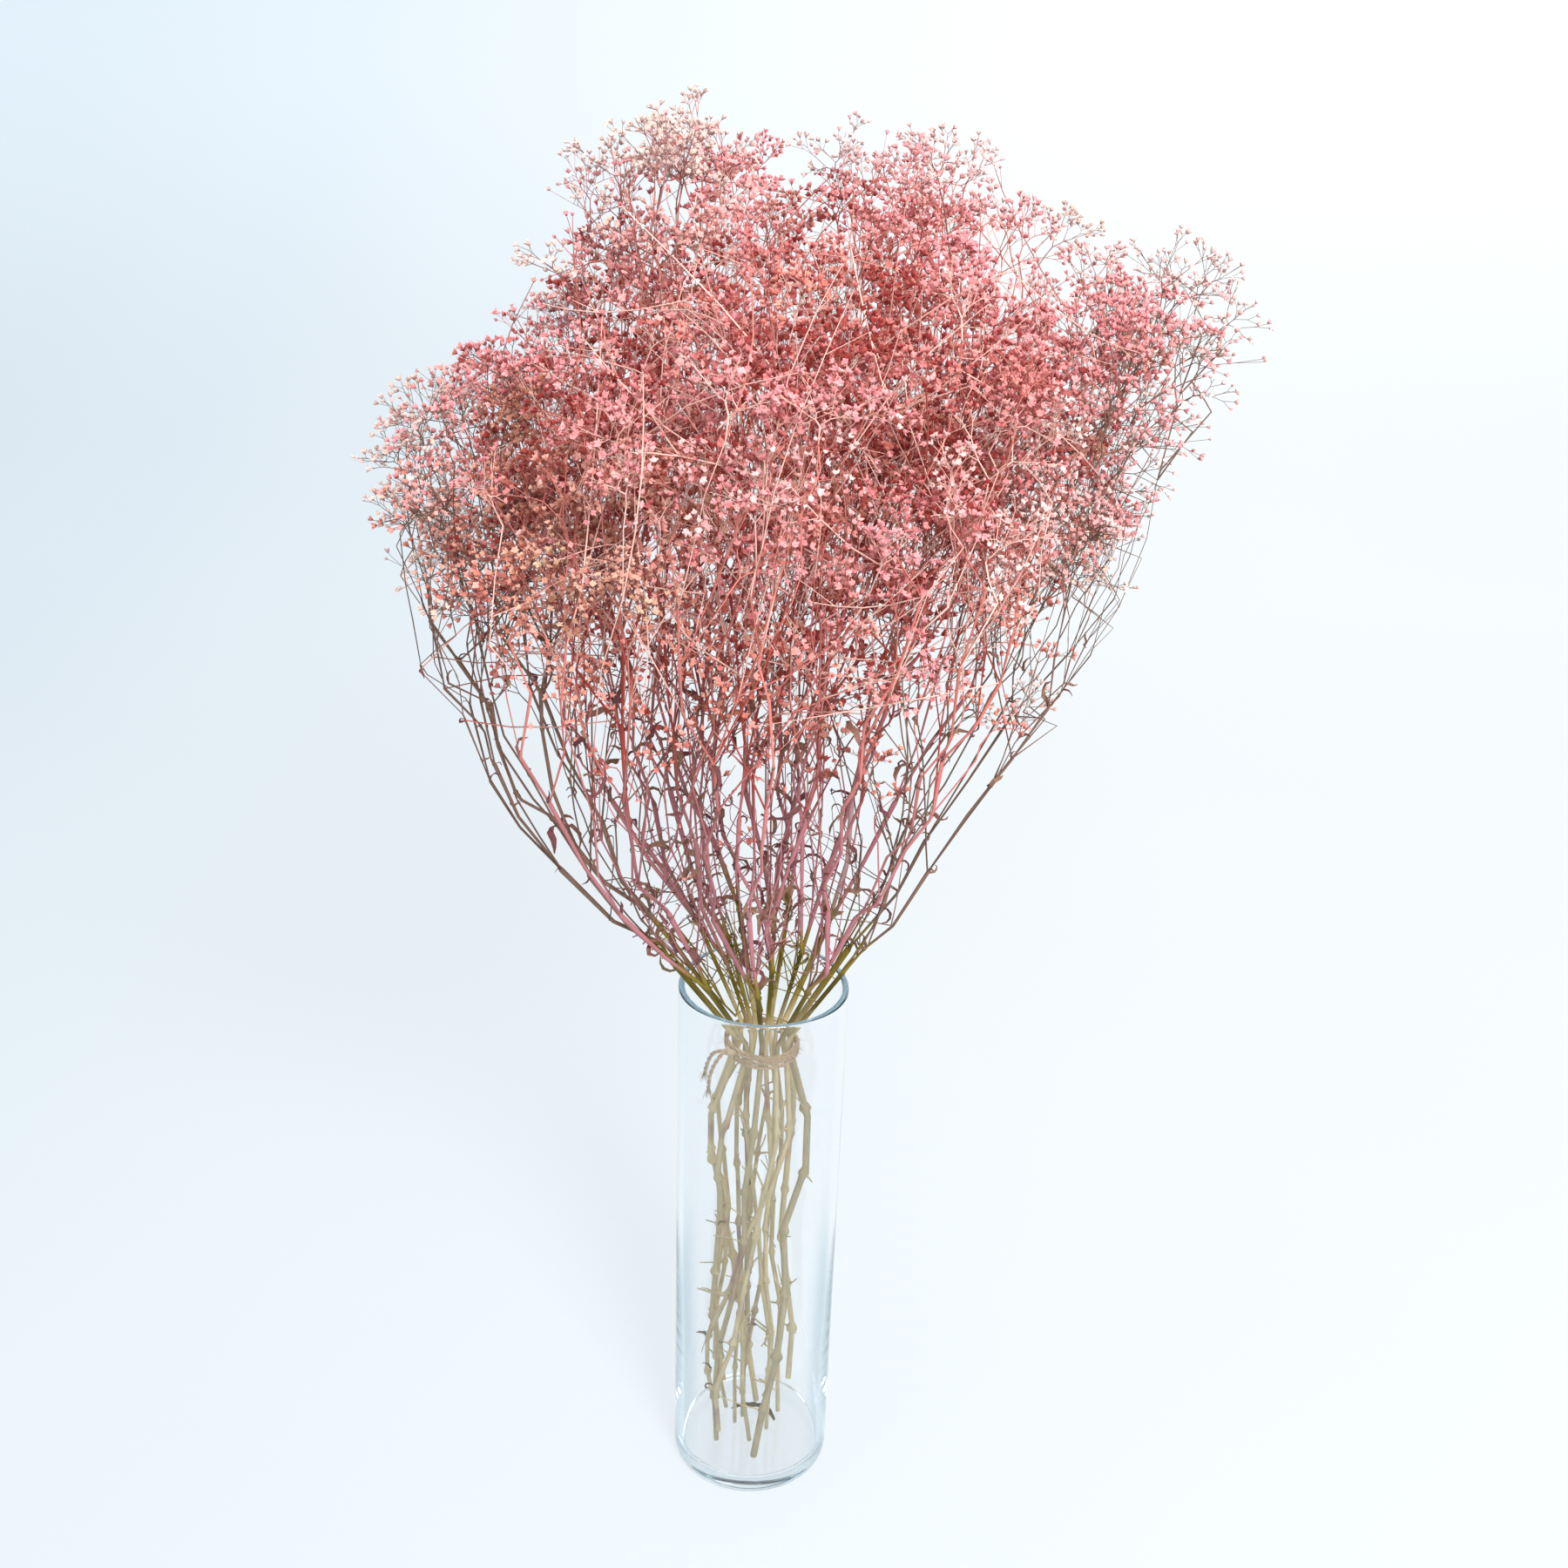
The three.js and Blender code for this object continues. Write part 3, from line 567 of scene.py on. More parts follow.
@dataclass(frozen=True)
class PaleFloor:
    """White paper that runs on from the table up into the background. Its glow is painted light: darker and
    bluer to the left, brighter up the wall and far back, and dim blue-grey in front of the vase; its own
    colour is kept dark grey so that shadows on it stay faint.
    """

    left: str = "DBE8F2"
    right: str = "FAFEFF"
    near: str = "B7C9D4"
    paper: str = "63676B"
    grain: str = "696D70"
    glow: float = 0.93
    low_glow: float = 0.885
    far_glow: float = 0.024

    def make(self) -> Material:
        """Builds the material.

        Returns:
            The material.
        """
        s = Surface("pale_paper")
        # Painted light: the glow is darker and bluer to the left and brighter higher up and further back.
        glow = s.mix(s.axis("X").band(-1.4, 0.8), self.left, self.right)
        rise = s.axis("Z").band(0.05, 0.65) * (1 - self.low_glow) + self.low_glow
        glow = s.shade(glow, rise + s.axis("Y").band(0.9, 1.7) * self.far_glow)
        # A dim blue-grey glow in front of the vase, painted so that the glass shows darker surroundings there
        # and less light comes up from below.
        glow = s.mix(s.axis("Y").band(-0.16, -0.9), glow, self.near)
        # Dark grey paper under the glow, so that the painted glow outweighs the shadows cast on it.
        colour = s.mix(s.noise(3.0, 2.0), self.paper, self.grain)
        others = {"Specular IOR Level": 0.1, "Emission Color": glow, "Emission Strength": self.glow}
        return s.finish(colour, 0.8, others)


class Finish(Enum):
    """The finishes of the arrangement and its stage."""

    PETALS = DyedPetals()
    BARK = DyedBark()
    LEAF = DryLeaf()
    JUTE = JuteFibre()
    GLASS = ClearGlass()
    FLOOR = PaleFloor()


class Paint:
    """Makes each finish once."""

    def __init__(self) -> None:
        """Starts with no materials."""
        self._made: dict[Finish, Material] = {}

    def __call__(self, finish: Finish) -> Material:
        """Gives the material of a finish.

        Args:
            finish: the finish.

        Returns:
            Its material, made at the first call.
        """
        if finish not in self._made:
            self._made[finish] = finish.value.make()
        return self._made[finish]


# Meshes from geometry nodes


class GeometryTree(Graph):
    """A geometry node tree with named inputs."""

    def __init__(self, name: str, inputs: dict[str, tuple[str, Any]]) -> None:
        """Starts a tree.

        Args:
            name: the tree's name.
            inputs: socket type and default value by name.
        """
        super().__init__(bpy.data.node_groups.new(name, "GeometryNodeTree"))
        face = self.tree.interface
        face.new_socket("Geometry", in_out="INPUT", socket_type="NodeSocketGeometry")
        face.new_socket("Geometry", in_out="OUTPUT", socket_type="NodeSocketGeometry")
        self.identifiers: dict[str, str] = {}
        for label, (kind, default) in inputs.items():
            made = face.new_socket(label, in_out="INPUT", socket_type=kind)
            if default is not None:
                made.default_value = default
            self.identifiers[label] = made.identifier
        self.given = self.node("NodeGroupInput").outputs

    def end(self, geometry: NodeSocket) -> None:
        """Ends the tree in Realize Instances and Set Material.

        Args:
            geometry: what the tree has made.
        """
        real = self.node("GeometryNodeRealizeInstances", {}, {"Geometry": geometry}).outputs[0]
        inputs = {"Geometry": real, "Material": self.given["Material"]}
        dressed = self.node("GeometryNodeSetMaterial", {}, inputs)
        self.node("NodeGroupOutput", {}, {"Geometry": dressed.outputs[0]})

    def held(self, name: str, kind: str = "FLOAT") -> NodeSocket:
        """Gives what the geometry holds under a name."""
        return self.node("GeometryNodeInputNamedAttribute", {"data_type": kind}, {"Name": name}).outputs[0]

    def apply(self, name: str, source: Mesh, values: dict[str, Any]) -> Object:
        """Runs the tree on a mesh and keeps the result as a plain mesh.

        Args:
            name: the new object's name.
            source: the mesh that goes in.
            values: the tree's inputs by name.

        Returns:
            An object with the evaluated mesh and no modifier.
        """
        obj = bpy.data.objects.new(name, source)
        bpy.context.scene.collection.objects.link(obj)
        modifier = obj.modifiers.new("shape", "NODES")
        modifier.node_group = self.tree
        for label, value in values.items():
            modifier[self.identifiers[label]] = value
        depsgraph = bpy.context.evaluated_depsgraph_get()
        shaped = obj.evaluated_get(depsgraph)
        mesh = bpy.data.meshes.new_from_object(shaped, preserve_all_data_layers=True, depsgraph=depsgraph)
        obj.modifiers.clear()
        obj.data = mesh
        mesh.name = name
        bpy.data.meshes.remove(source)
        return obj


class TubeTree(GeometryTree):
    """Turns lines into tubes as thick as their points say, thick lines rounder than thin ones."""

    def __init__(self) -> None:
        """Builds the tree."""
        sides = {"Thick Sides": ("NodeSocketInt", 8), "Thin Sides": ("NodeSocketInt", 3)}
        super().__init__("tubes", sides | {"Material": ("NodeSocketMaterial", None)})
        lines = self.node("GeometryNodeMeshToCurve", {}, {"Mesh": self.given["Geometry"]}).outputs[0]
        choice = {"Geometry": lines, "Selection": self.held("thick")}
        split = self.node("GeometryNodeSeparateGeometry", {"domain": "CURVE"}, choice).outputs
        both = self.node("GeometryNodeJoinGeometry")
        for part, label in zip(split, sides):
            circle = {"Resolution": self.given[label], "Radius": 1.0}
            ring = self.node("GeometryNodeCurvePrimitiveCircle", {}, circle).outputs[0]
            sweep = {"Curve": part, "Profile Curve": ring, "Scale": self.held("radius"), "Fill Caps": True}
            tube = self.node("GeometryNodeCurveToMesh", {}, sweep)
            self.feed(both.inputs[0], tube.outputs[0])
        smooth = self.node("GeometryNodeSetShadeSmooth", {}, {"Geometry": both.outputs[0]})
        self.end(smooth.outputs[0])


class ScatterTree(GeometryTree):
    """Sets one of several small shapes on each point, facing the way the point says."""

    def __init__(self) -> None:
        """Builds the tree."""
        super().__init__(
            "scatter",
            {
                "Shapes": ("NodeSocketCollection", None),
                "Shape Count": ("NodeSocketInt", 1),
                "Size": ("NodeSocketFloat", 1.0),
                "Seed": ("NodeSocketInt", 0),
                "Material": ("NodeSocketMaterial", None),
            },
        )
        given = self.given
        kit = {"Collection": given["Shapes"], "Separate Children": True, "Reset Children": True}
        shapes = self.node("GeometryNodeCollectionInfo", {}, kit).outputs[0]
        last = self.node("ShaderNodeMath", {"operation": "SUBTRACT"}, {0: given["Shape Count"], 1: 1.0})
        numbers = {"Min_002": 0, "Max_002": last.outputs[0], "Seed": given["Seed"]}
        which = self.node("FunctionNodeRandomValue", {"data_type": "INT"}, numbers).outputs[2]
        facing = {"Vector": self.held("facing", "FLOAT_VECTOR")}
        aimed = self.node("FunctionNodeAlignRotationToVector", {"axis": "Z"}, facing).outputs[0]
        angles = {"Min_001": 0.0, "Max_001": 2 * pi, "Seed": given["Seed"]}
        angle = self.node("FunctionNodeRandomValue", {"data_type": "FLOAT"}, angles).outputs[1]
        spin = self.node("FunctionNodeAxisAngleToRotation", {}, {"Axis": (0, 0, 1), "Angle": angle})
        turns = {"Rotation": aimed, "Rotate By": spin.outputs[0]}
        turn = self.node("FunctionNodeRotateRotation", {"rotation_space": "LOCAL"}, turns)
        sizes = {0: self.held("size"), 1: given["Size"]}
        size = self.node("ShaderNodeMath", {"operation": "MULTIPLY"}, sizes)
        placing = {
            "Points": given["Geometry"],
            "Instance": shapes,
            "Pick Instance": True,
            "Instance Index": which,
            "Rotation": turn.outputs[0],
            "Scale": size.outputs[0],
        }
        self.end(self.node("GeometryNodeInstanceOnPoints", {}, placing).outputs[0])


@dataclass
class Line:
    """A line that will become a tube: its points and its radius at each, in millimetres."""

    points: list[Array] = field(default_factory=list)
    radii: list[float] = field(default_factory=list)

    def add(self, point: Array, radius: float) -> None:
        """Carries the line on to a point."""
        self.points.append(point)
        self.radii.append(radius)


class Wires:
    """Lines that will become the tubes of one piece."""

    def __init__(self) -> None:
        """Starts with no lines."""
        self.rows: list[tuple] = []

    def add(self, points: Any, radii: Any, tone: float, undyed: float = 0.0, faded: float = 0.0) -> None:
        """Adds one line.

        Args:
            points: its points, in millimetres.
            radii: its radius at each point.
            tone: how light it is, from 0 to 1.
            undyed: how far the dye has missed it, from 0 to 1.
            faded: its painted light and shade, below -1 light, from -1 to 0 shade deep inside, and above 0
                mauve shade on the skyline.
        """
        self.rows.append((np.asarray(points, float), np.asarray(radii, float), tone, undyed, faded))

    def mesh(self, name: str, thick_from: float) -> Mesh:
        """Makes a mesh of edges.

        Args:
            name: the mesh's name.
            thick_from: radius from which a line is a thick one, in millimetres.

        Returns:
            The mesh, with radius, thick, tone, undyed and faded on its points.
        """
        lines, radii, tones, undyed, faded = zip(*self.rows)
        sizes = [len(line) for line in lines]
        firsts = np.concatenate([[0], np.cumsum(sizes)[:-1]])
        steps = np.concatenate([np.arange(n - 1) + f for n, f in zip(sizes, firsts)])
        mesh = point_mesh(name, np.concatenate(lines), edges=np.stack([steps, steps + 1], 1))
        thick = [float(r.max() >= thick_from) for r in radii]
        of_lines = {"thick": thick, "tone": tones, "undyed": undyed, "faded": faded}
        of_points = {label: np.repeat(values, sizes) for label, values in of_lines.items()}
        write_columns(mesh, {"radius": np.concatenate(radii) * MM} | of_points)
        return mesh


class Marks:
    """Points that will each carry a small shape."""

    def __init__(self) -> None:
        """Starts with no points."""
        self.rows: list[tuple] = []

    def add(
        self, place: Any, facing: Any, size: float, tone: float, faded: float = 0.0, dry: float = 0.0
    ) -> None:
        """Adds one point.

        Args:
            place: where it is, in millimetres.
            facing: the way its shape faces.
            size: the shape's size, 1 as it is built.
            tone: how light it is, from 0 to 1.
            faded: how pale its dye is, with painted light added at the crown's outside and painted shade
                taken off deep inside.
            dry: how far it has turned tan.
        """
        self.rows.append((place, facing, size, tone, faded, dry))

    def mesh(self, name: str) -> Mesh:
        """Makes a mesh of loose points.

        Args:
            name: the mesh's name.

        Returns:
            The mesh, with facing, size, tone, faded and dry on its points.
        """
        places, facings, *numbers = zip(*self.rows)
        mesh = point_mesh(name, places)
        write_columns(mesh, dict(zip(("size", "tone", "faded", "dry"), numbers)))
        facing = mesh.attributes.new("facing", "FLOAT_VECTOR", "POINT")
        facing.data.foreach_set("vector", np.array(facings, np.float32).ravel())
        return mesh


# The sheaf and how it grows


class Ring(Enum):
    """Which ring of the sheaf a spray stands in."""

    OUTER = "outer"
    INNER = "inner"


@dataclass(frozen=True)
class SheafRow:
    """One height of the sheaf: its half width and depth, its lean and its turn."""

    z: float
    width: float
    depth: float
    lean: float
    turn: float


@dataclass(frozen=True)
class Spray:
    """One cut spray: its place in the sheaf, its cut end and the band its florets lie in."""

    ring: Ring
    angle: float
    foot: float
    low: float
    top: float
    seed: int

    def spot(self, radius: float) -> tuple[float, float]:
        """Gives the spot of the disc at this spray's angle."""
        return on_circle(radius, radians(self.angle))


@dataclass
class Fork:
    """A place in the sheaf where branches part, or a floret at the end of one."""

    a: float
    b: float
    z: float
    count: int = 1
    number: int = -1
    children: list["Fork"] = field(default_factory=list)
    bend: "Fork | None" = None


class ParkMiller:
    """The sequence of numbers between 0 and 1 that the solids grow by."""

    def __init__(self, seed: int) -> None:
        """Starts at a seed."""
        self.state = seed

    def __call__(self) -> float:
        """Gives the next number."""
        self.state = (self.state * 48271) % 2147483647
        return self.state / 2147483647


@dataclass(frozen=True)
class Sheaf:
    """The smooth bundle that all stems and branches run along, in millimetres and degrees."""

    inner_turn_ratio: float = -1.25
    rows: tuple[SheafRow, ...] = tuple(
        SheafRow(*row)
        for row in (
            (8, 21, 21, 0, -84), (60, 26, 26, 0, -66), (110, 22, 22, 0, -46), (152, 19, 19, 0, -30),
            (198, 28, 28, 0, -13), (249, 15.8, 15.8, 0, 0), (281, 34.4, 33.8, 0.4, 0), (330, 88, 76, -9, 0),
            (372, 126, 104, -13, 0), (417, 150, 121, -11, 0), (460, 163, 131, -6, 0),
            (530, 172, 138, 2, 0), (600, 182, 143, 6, 0), (670, 190, 146, 8, 0),
        )
    )

    def value(self, column: str, z: float) -> float:
        """Reads the sheaf on a smooth curve through its rows.

        Args:
            column: what is read: width, depth, lean or turn.
            z: the height.

        Returns:
            The number there.
        """
        rows = self.rows
        row = 0
        while row < len(rows) - 2 and z > rows[row + 1].z:
            row += 1
        a, b, c = rows[max(row - 1, 0)], rows[row], rows[row + 1]
        d = rows[min(row + 2, len(rows) - 1)]
        span = c.z - b.z
        t = clamp((z - b.z) / span)
        va, vb, vc, vd = (getattr(r, column) for r in (a, b, c, d))
        slope_b = ((vc - va) / (c.z - a.z)) * span
        slope_c = ((vd - vb) / (d.z - b.z)) * span
        t2, t3 = t * t, t * t * t
        start = (2 * t3 - 3 * t2 + 1) * vb + (t3 - 2 * t2 + t) * slope_b
        return start + (3 * t2 - 2 * t3) * vc + (t3 - t2) * slope_c

    def place(self, spot: Fork, ring: Ring) -> Array:
        """Turns a spot of the sheaf into a place.

        Args:
            spot: the spot.
            ring: the ring that its stem stands in.

        Returns:
            The place, in millimetres.
        """
        ratio = self.inner_turn_ratio if ring is Ring.INNER else 1
        a, b = turned(spot.a, spot.b, radians(self.value("turn", spot.z) * ratio))
        x = a * self.value("width", spot.z) + self.value("lean", spot.z)
        return np.array([x, b * self.value("depth", spot.z), spot.z])


@dataclass(frozen=True)
class Crown:
    """How the florets of the solids are scattered, and how branches fork towards them."""

    sheaf: Sheaf
    sprays: tuple[Spray, ...] = tuple(
        Spray(*row)
        for row in (
            (Ring.OUTER, 8, 8.3, 500, 612, 4), (Ring.OUTER, 41, 34, 500, 622, 4),
            (Ring.OUTER, 73, 8.3, 505, 634, 5), (Ring.OUTER, 106, 52, 500, 638, 4),
            (Ring.OUTER, 139, 8.3, 485, 596, 1), (Ring.OUTER, 172, 26, 472, 568, 10),
            (Ring.OUTER, 204, 8.3, 474, 572, 5), (Ring.OUTER, 237, 40, 486, 590, 45),
            (Ring.OUTER, 270, 8.3, 494, 606, 1), (Ring.OUTER, 302, 18, 490, 608, 2),
            (Ring.OUTER, 335, 8.3, 496, 602, 8), (Ring.INNER, 0, 8.3, 500, 654, 2),
            (Ring.INNER, 72, 8.3, 510, 654, 51), (Ring.INNER, 144, 8.3, 505, 656, 6),
            (Ring.INNER, 216, 8.3, 500, 662, 4), (Ring.INNER, 288, 8.3, 500, 662, 58),
        )
    )
    outer_stem: float = 0.92
    outer_crown: float = 0.76
    inner_stem: float = 0.42
    inner_crown: float = 0.36
    floret_seed: int = 4063
    tries: int = 60000
    spacing: float = 17
    side_spacing: float = 10.5
    edge: float = 0.045
    drop: float = 46
    drop_radius: float = 0.3
    fork_seed: int = 1009
    share_low: float = 0.2
    share_high: float = 0.5
    clearance: float = 14
    branch_gap: float = 0.5
    floret_room: float = 7
    long_branch: float = 60
    twig_radius: float = 0.66
    pipe_exponent: float = 0.34

    def fork_distance(self, one: Fork, two: Fork) -> float:
        """Gives the distance between two spots as it counts for forking."""
        last = self.sheaf.rows[-1]
        return hypot((one.a - two.a) * last.width, (one.b - two.b) * last.depth)

    def scatter(self) -> list[list[Fork]]:
        """Scatters the florets of the solids.

        Returns:
            The florets of each spray.
        """
        draw = ParkMiller(self.floret_seed)
        radii = [self.inner_crown if s.ring is Ring.INNER else self.outer_crown for s in self.sprays]
        centres = np.array([s.spot(r) for s, r in zip(self.sprays, radii)])
        places = np.zeros((self.tries, 3))
        total = 0
        owned: list[list[Fork]] = [[] for _ in self.sprays]
        for _ in range(self.tries):
            a, b = 2 * draw() - 1, 2 * draw() - 1
            level = draw()
            if hypot(a, b) > 1:
                continue
            distances = np.hypot(a - centres[:, 0], b - centres[:, 1])
            first, second = np.argsort(distances, kind="stable")[:2]
            if distances[second] - distances[first] < 2 * self.edge:
                continue
            spray = self.sprays[first]
            top = spray.top - self.drop * (distances[first] / self.drop_radius) ** 2
            spot = Fork(a, b, spray.low + (top - spray.low) * level)
            place = self.sheaf.place(spot, spray.ring)
            near = np.linalg.norm(places[:total] - place, axis=1) <= self.spacing
            if near.any() or top <= spray.low:
                continue
            if any(self.fork_distance(spot, other) <= self.side_spacing for other in owned[first]):
                continue
            spot.number = total
            places[total] = place
            total += 1
            owned[first].append(spot)
        return owned

    def split(self, florets: list[Fork]) -> tuple[list[Fork], list[Fork]]:
        """Parts florets round the two that lie furthest apart.

        Args:
            florets: two or more of them.

        Returns:
            The florets nearer to the one, and those nearer to the other.
        """
        pairs = [(i, j) for i in range(len(florets)) for j in range(i + 1, len(florets))]
        spans = [self.fork_distance(florets[i], florets[j]) for i, j in pairs]
        i, j = pairs[spans.index(max(spans))]
        near = [f for f in florets if self.fork_distance(f, florets[i]) <= self.fork_distance(f, florets[j])]
        far = [f for f in florets if not any(f is n for n in near)]
        return near, far

    def grow_forks(self, node: Fork, florets: list[Fork], draw: ParkMiller) -> None:
        """Grows the forks that carry a group of florets.

        Args:
            node: the fork that they grow up from.
            florets: the florets.
            draw: the numbers that they grow by.
        """
        share = self.share_low + (self.share_high - self.share_low) * draw()
        lowest = min(f.z for f in florets)
        headroom = self.clearance * (0.35 + 0.2 * log2(len(florets)))
        mean_z = sum(f.z for f in florets) / len(florets)
        z = min(node.z + (mean_z - node.z) * share, lowest - headroom)
        for group in self.split(florets):
            mean_a = sum(f.a for f in group) / len(group)
            mean_b = sum(f.b for f in group) / len(group)
            fork = Fork(mean_a, mean_b, z, len(group))
            if len(group) > 1:
                self.grow_forks(fork, group, draw)
                node.children.append(fork)
            else:
                bend = fork if len(florets) > 2 else None
                one = group[0]
                node.children.append(Fork(one.a, one.b, one.z, 1, one.number, [], bend))
        node.children.sort(key=lambda child: -child.count)

    def path(self, start: Fork, node: Fork) -> list[Fork]:
        """Lists the spots that a branch passes through.

        Args:
            start: the fork that it leaves.
            node: the fork or floret that it reaches.

        Returns:
            The spots, of which the last is the node.
        """
        if node.bend:
            return [node.bend, node]
        length = np.linalg.norm(self.sheaf.place(node, Ring.OUTER) - self.sheaf.place(start, Ring.OUTER))
        if length <= self.long_branch:
            return [node]
        return [Fork((start.a + node.a) / 2, (start.b + node.b) / 2, (start.z + node.z) / 2), node]

    def radius(self, count: int) -> float:
        """Gives the radius of a branch that carries a number of florets."""
        return self.twig_radius * count**self.pipe_exponent

    def clash(self, top: Fork, ring: Ring) -> int | None:
        """Looks for branches and florets that stand in each other's way.

        Args:
            top: the first fork of the spray.
            ring: the ring that it stands in.

        Returns:
            The number of a floret that has to go, or None if all is clear.
        """
        stretches: list[tuple] = []

        def walk(node: Fork, place: Array, place_id: int) -> None:
            """Lists the straight stretches above a node.

            Args:
                node: the node.
                place: its place.
                place_id: the number of its place.
            """
            for child in node.children:
                at, at_id = place, place_id
                for spot in self.path(node, child):
                    end = self.sheaf.place(spot, ring)
                    stretches.append((at, end, child, at_id, len(stretches) + 1))
                    at, at_id = end, len(stretches)
                walk(child, at, at_id)

        walk(top, self.sheaf.place(top, ring), 0)
        starts, ends, nodes, start_ids, end_ids = zip(*stretches)
        p, q = np.array(starts), np.array(ends)
        radii = np.array([self.radius(n.count) for n in nodes])
        owners = np.array([id(n) for n in nodes])
        first_ids, last_ids = np.array(start_ids), np.array(end_ids)
        for i, node in enumerate(nodes):
            apart = (owners != owners[i]) & (first_ids != last_ids[i]) & (last_ids != first_ids[i])
            tip = not node.children and np.linalg.norm(q[i] - self.sheaf.place(node, ring)) == 0
            point_gap = stretch_distances(q[i], q[i], p, q)
            whole_gap = stretch_distances(p[i], q[i], p, q)
            gap = np.where(first_ids == first_ids[i], point_gap, whole_gap)
            crowded = apart & tip & (point_gap < self.floret_room)
            touching = apart & (gap < radii[i] + radii + self.branch_gap)
            hits = np.nonzero(crowded | touching)[0]
            if len(hits):
                other = nodes[hits[0]]
                found = node if crowded[hits[0]] or node.count < other.count else other
                while found.children:
                    found = found.children[-1]
                return found.number
        return None

    def grow(self, spray: Spray, florets: list[Fork]) -> Fork:
        """Grows a spray's crown, less the florets that do not fit in clear of the rest.

        Args:
            spray: the spray.
            florets: the florets scattered for it.

        Returns:
            Its first fork.
        """
        stem_a, stem_b = spray.spot(self.inner_stem if spray.ring is Ring.INNER else self.outer_stem)
        kept = florets
        while True:
            top = Fork(stem_a, stem_b, StemPlan.root_height, len(kept))
            self.grow_forks(top, kept, ParkMiller(self.fork_seed * spray.seed))
            number = self.clash(top, spray.ring)
            if number is None:
                return top
            kept = [f for f in kept if f.number != number]


def stretch_distances(start: Array, end: Array, starts: Array, ends: Array) -> Array:
    """Gives the shortest distances from one straight stretch to many.

    Args:
        start: the first stretch's start.
        end: its end.
        starts: the other stretches' starts.
        ends: their ends.

    Returns:
        One distance for each of the other stretches.
    """
    d1 = end - start
    d2 = ends - starts
    gap = start - starts
    a = float(d1 @ d1)
    b = d2 @ d1
    c = (d2 * d2).sum(1)
    e = gap @ d1
    f = (gap * d2).sum(1)
    denominator = a * c - b * b
    safe = np.where(denominator > 1e-9, denominator, 1)
    s = np.where(denominator > 1e-9, np.clip((b * f - c * e) / safe, 0, 1), 0)
    t = np.where(c > 0, np.clip((b * s + f) / np.where(c > 0, c, 1), 0, 1), 0)
    s = np.clip((b * t - e) / a, 0, 1) if a > 0 else np.zeros(len(c))
    return np.linalg.norm(gap + s[:, None] * d1 - t[:, None] * d2, axis=1)


@dataclass(frozen=True)
class StemPlan:
    """Sizes of the main stems, in millimetres."""

    root_height: float = 296
    tie_height: float = 249
    tie_reach: float = 5
    step: float = 32
    radius: float = 1.45
    swelling: float = 1.65

    def heights(self, spray: Spray) -> list[float]:
        """Spaces the nodes of a stem.

        Args:
            spray: the spray whose stem it is.

        Returns:
            Their heights, from the cut end to the first fork.
        """
        below, above = self.tie_height - self.tie_reach, self.tie_height + self.tie_reach
        found: list[float] = []
        for low, high in ((spray.foot, below), (above, self.root_height)):
            steps = floor((high - low) / self.step + 0.5)
            found += [low + ((high - low) * k) / steps for k in range(steps + 1)]
        return found


# Florets and sprigs


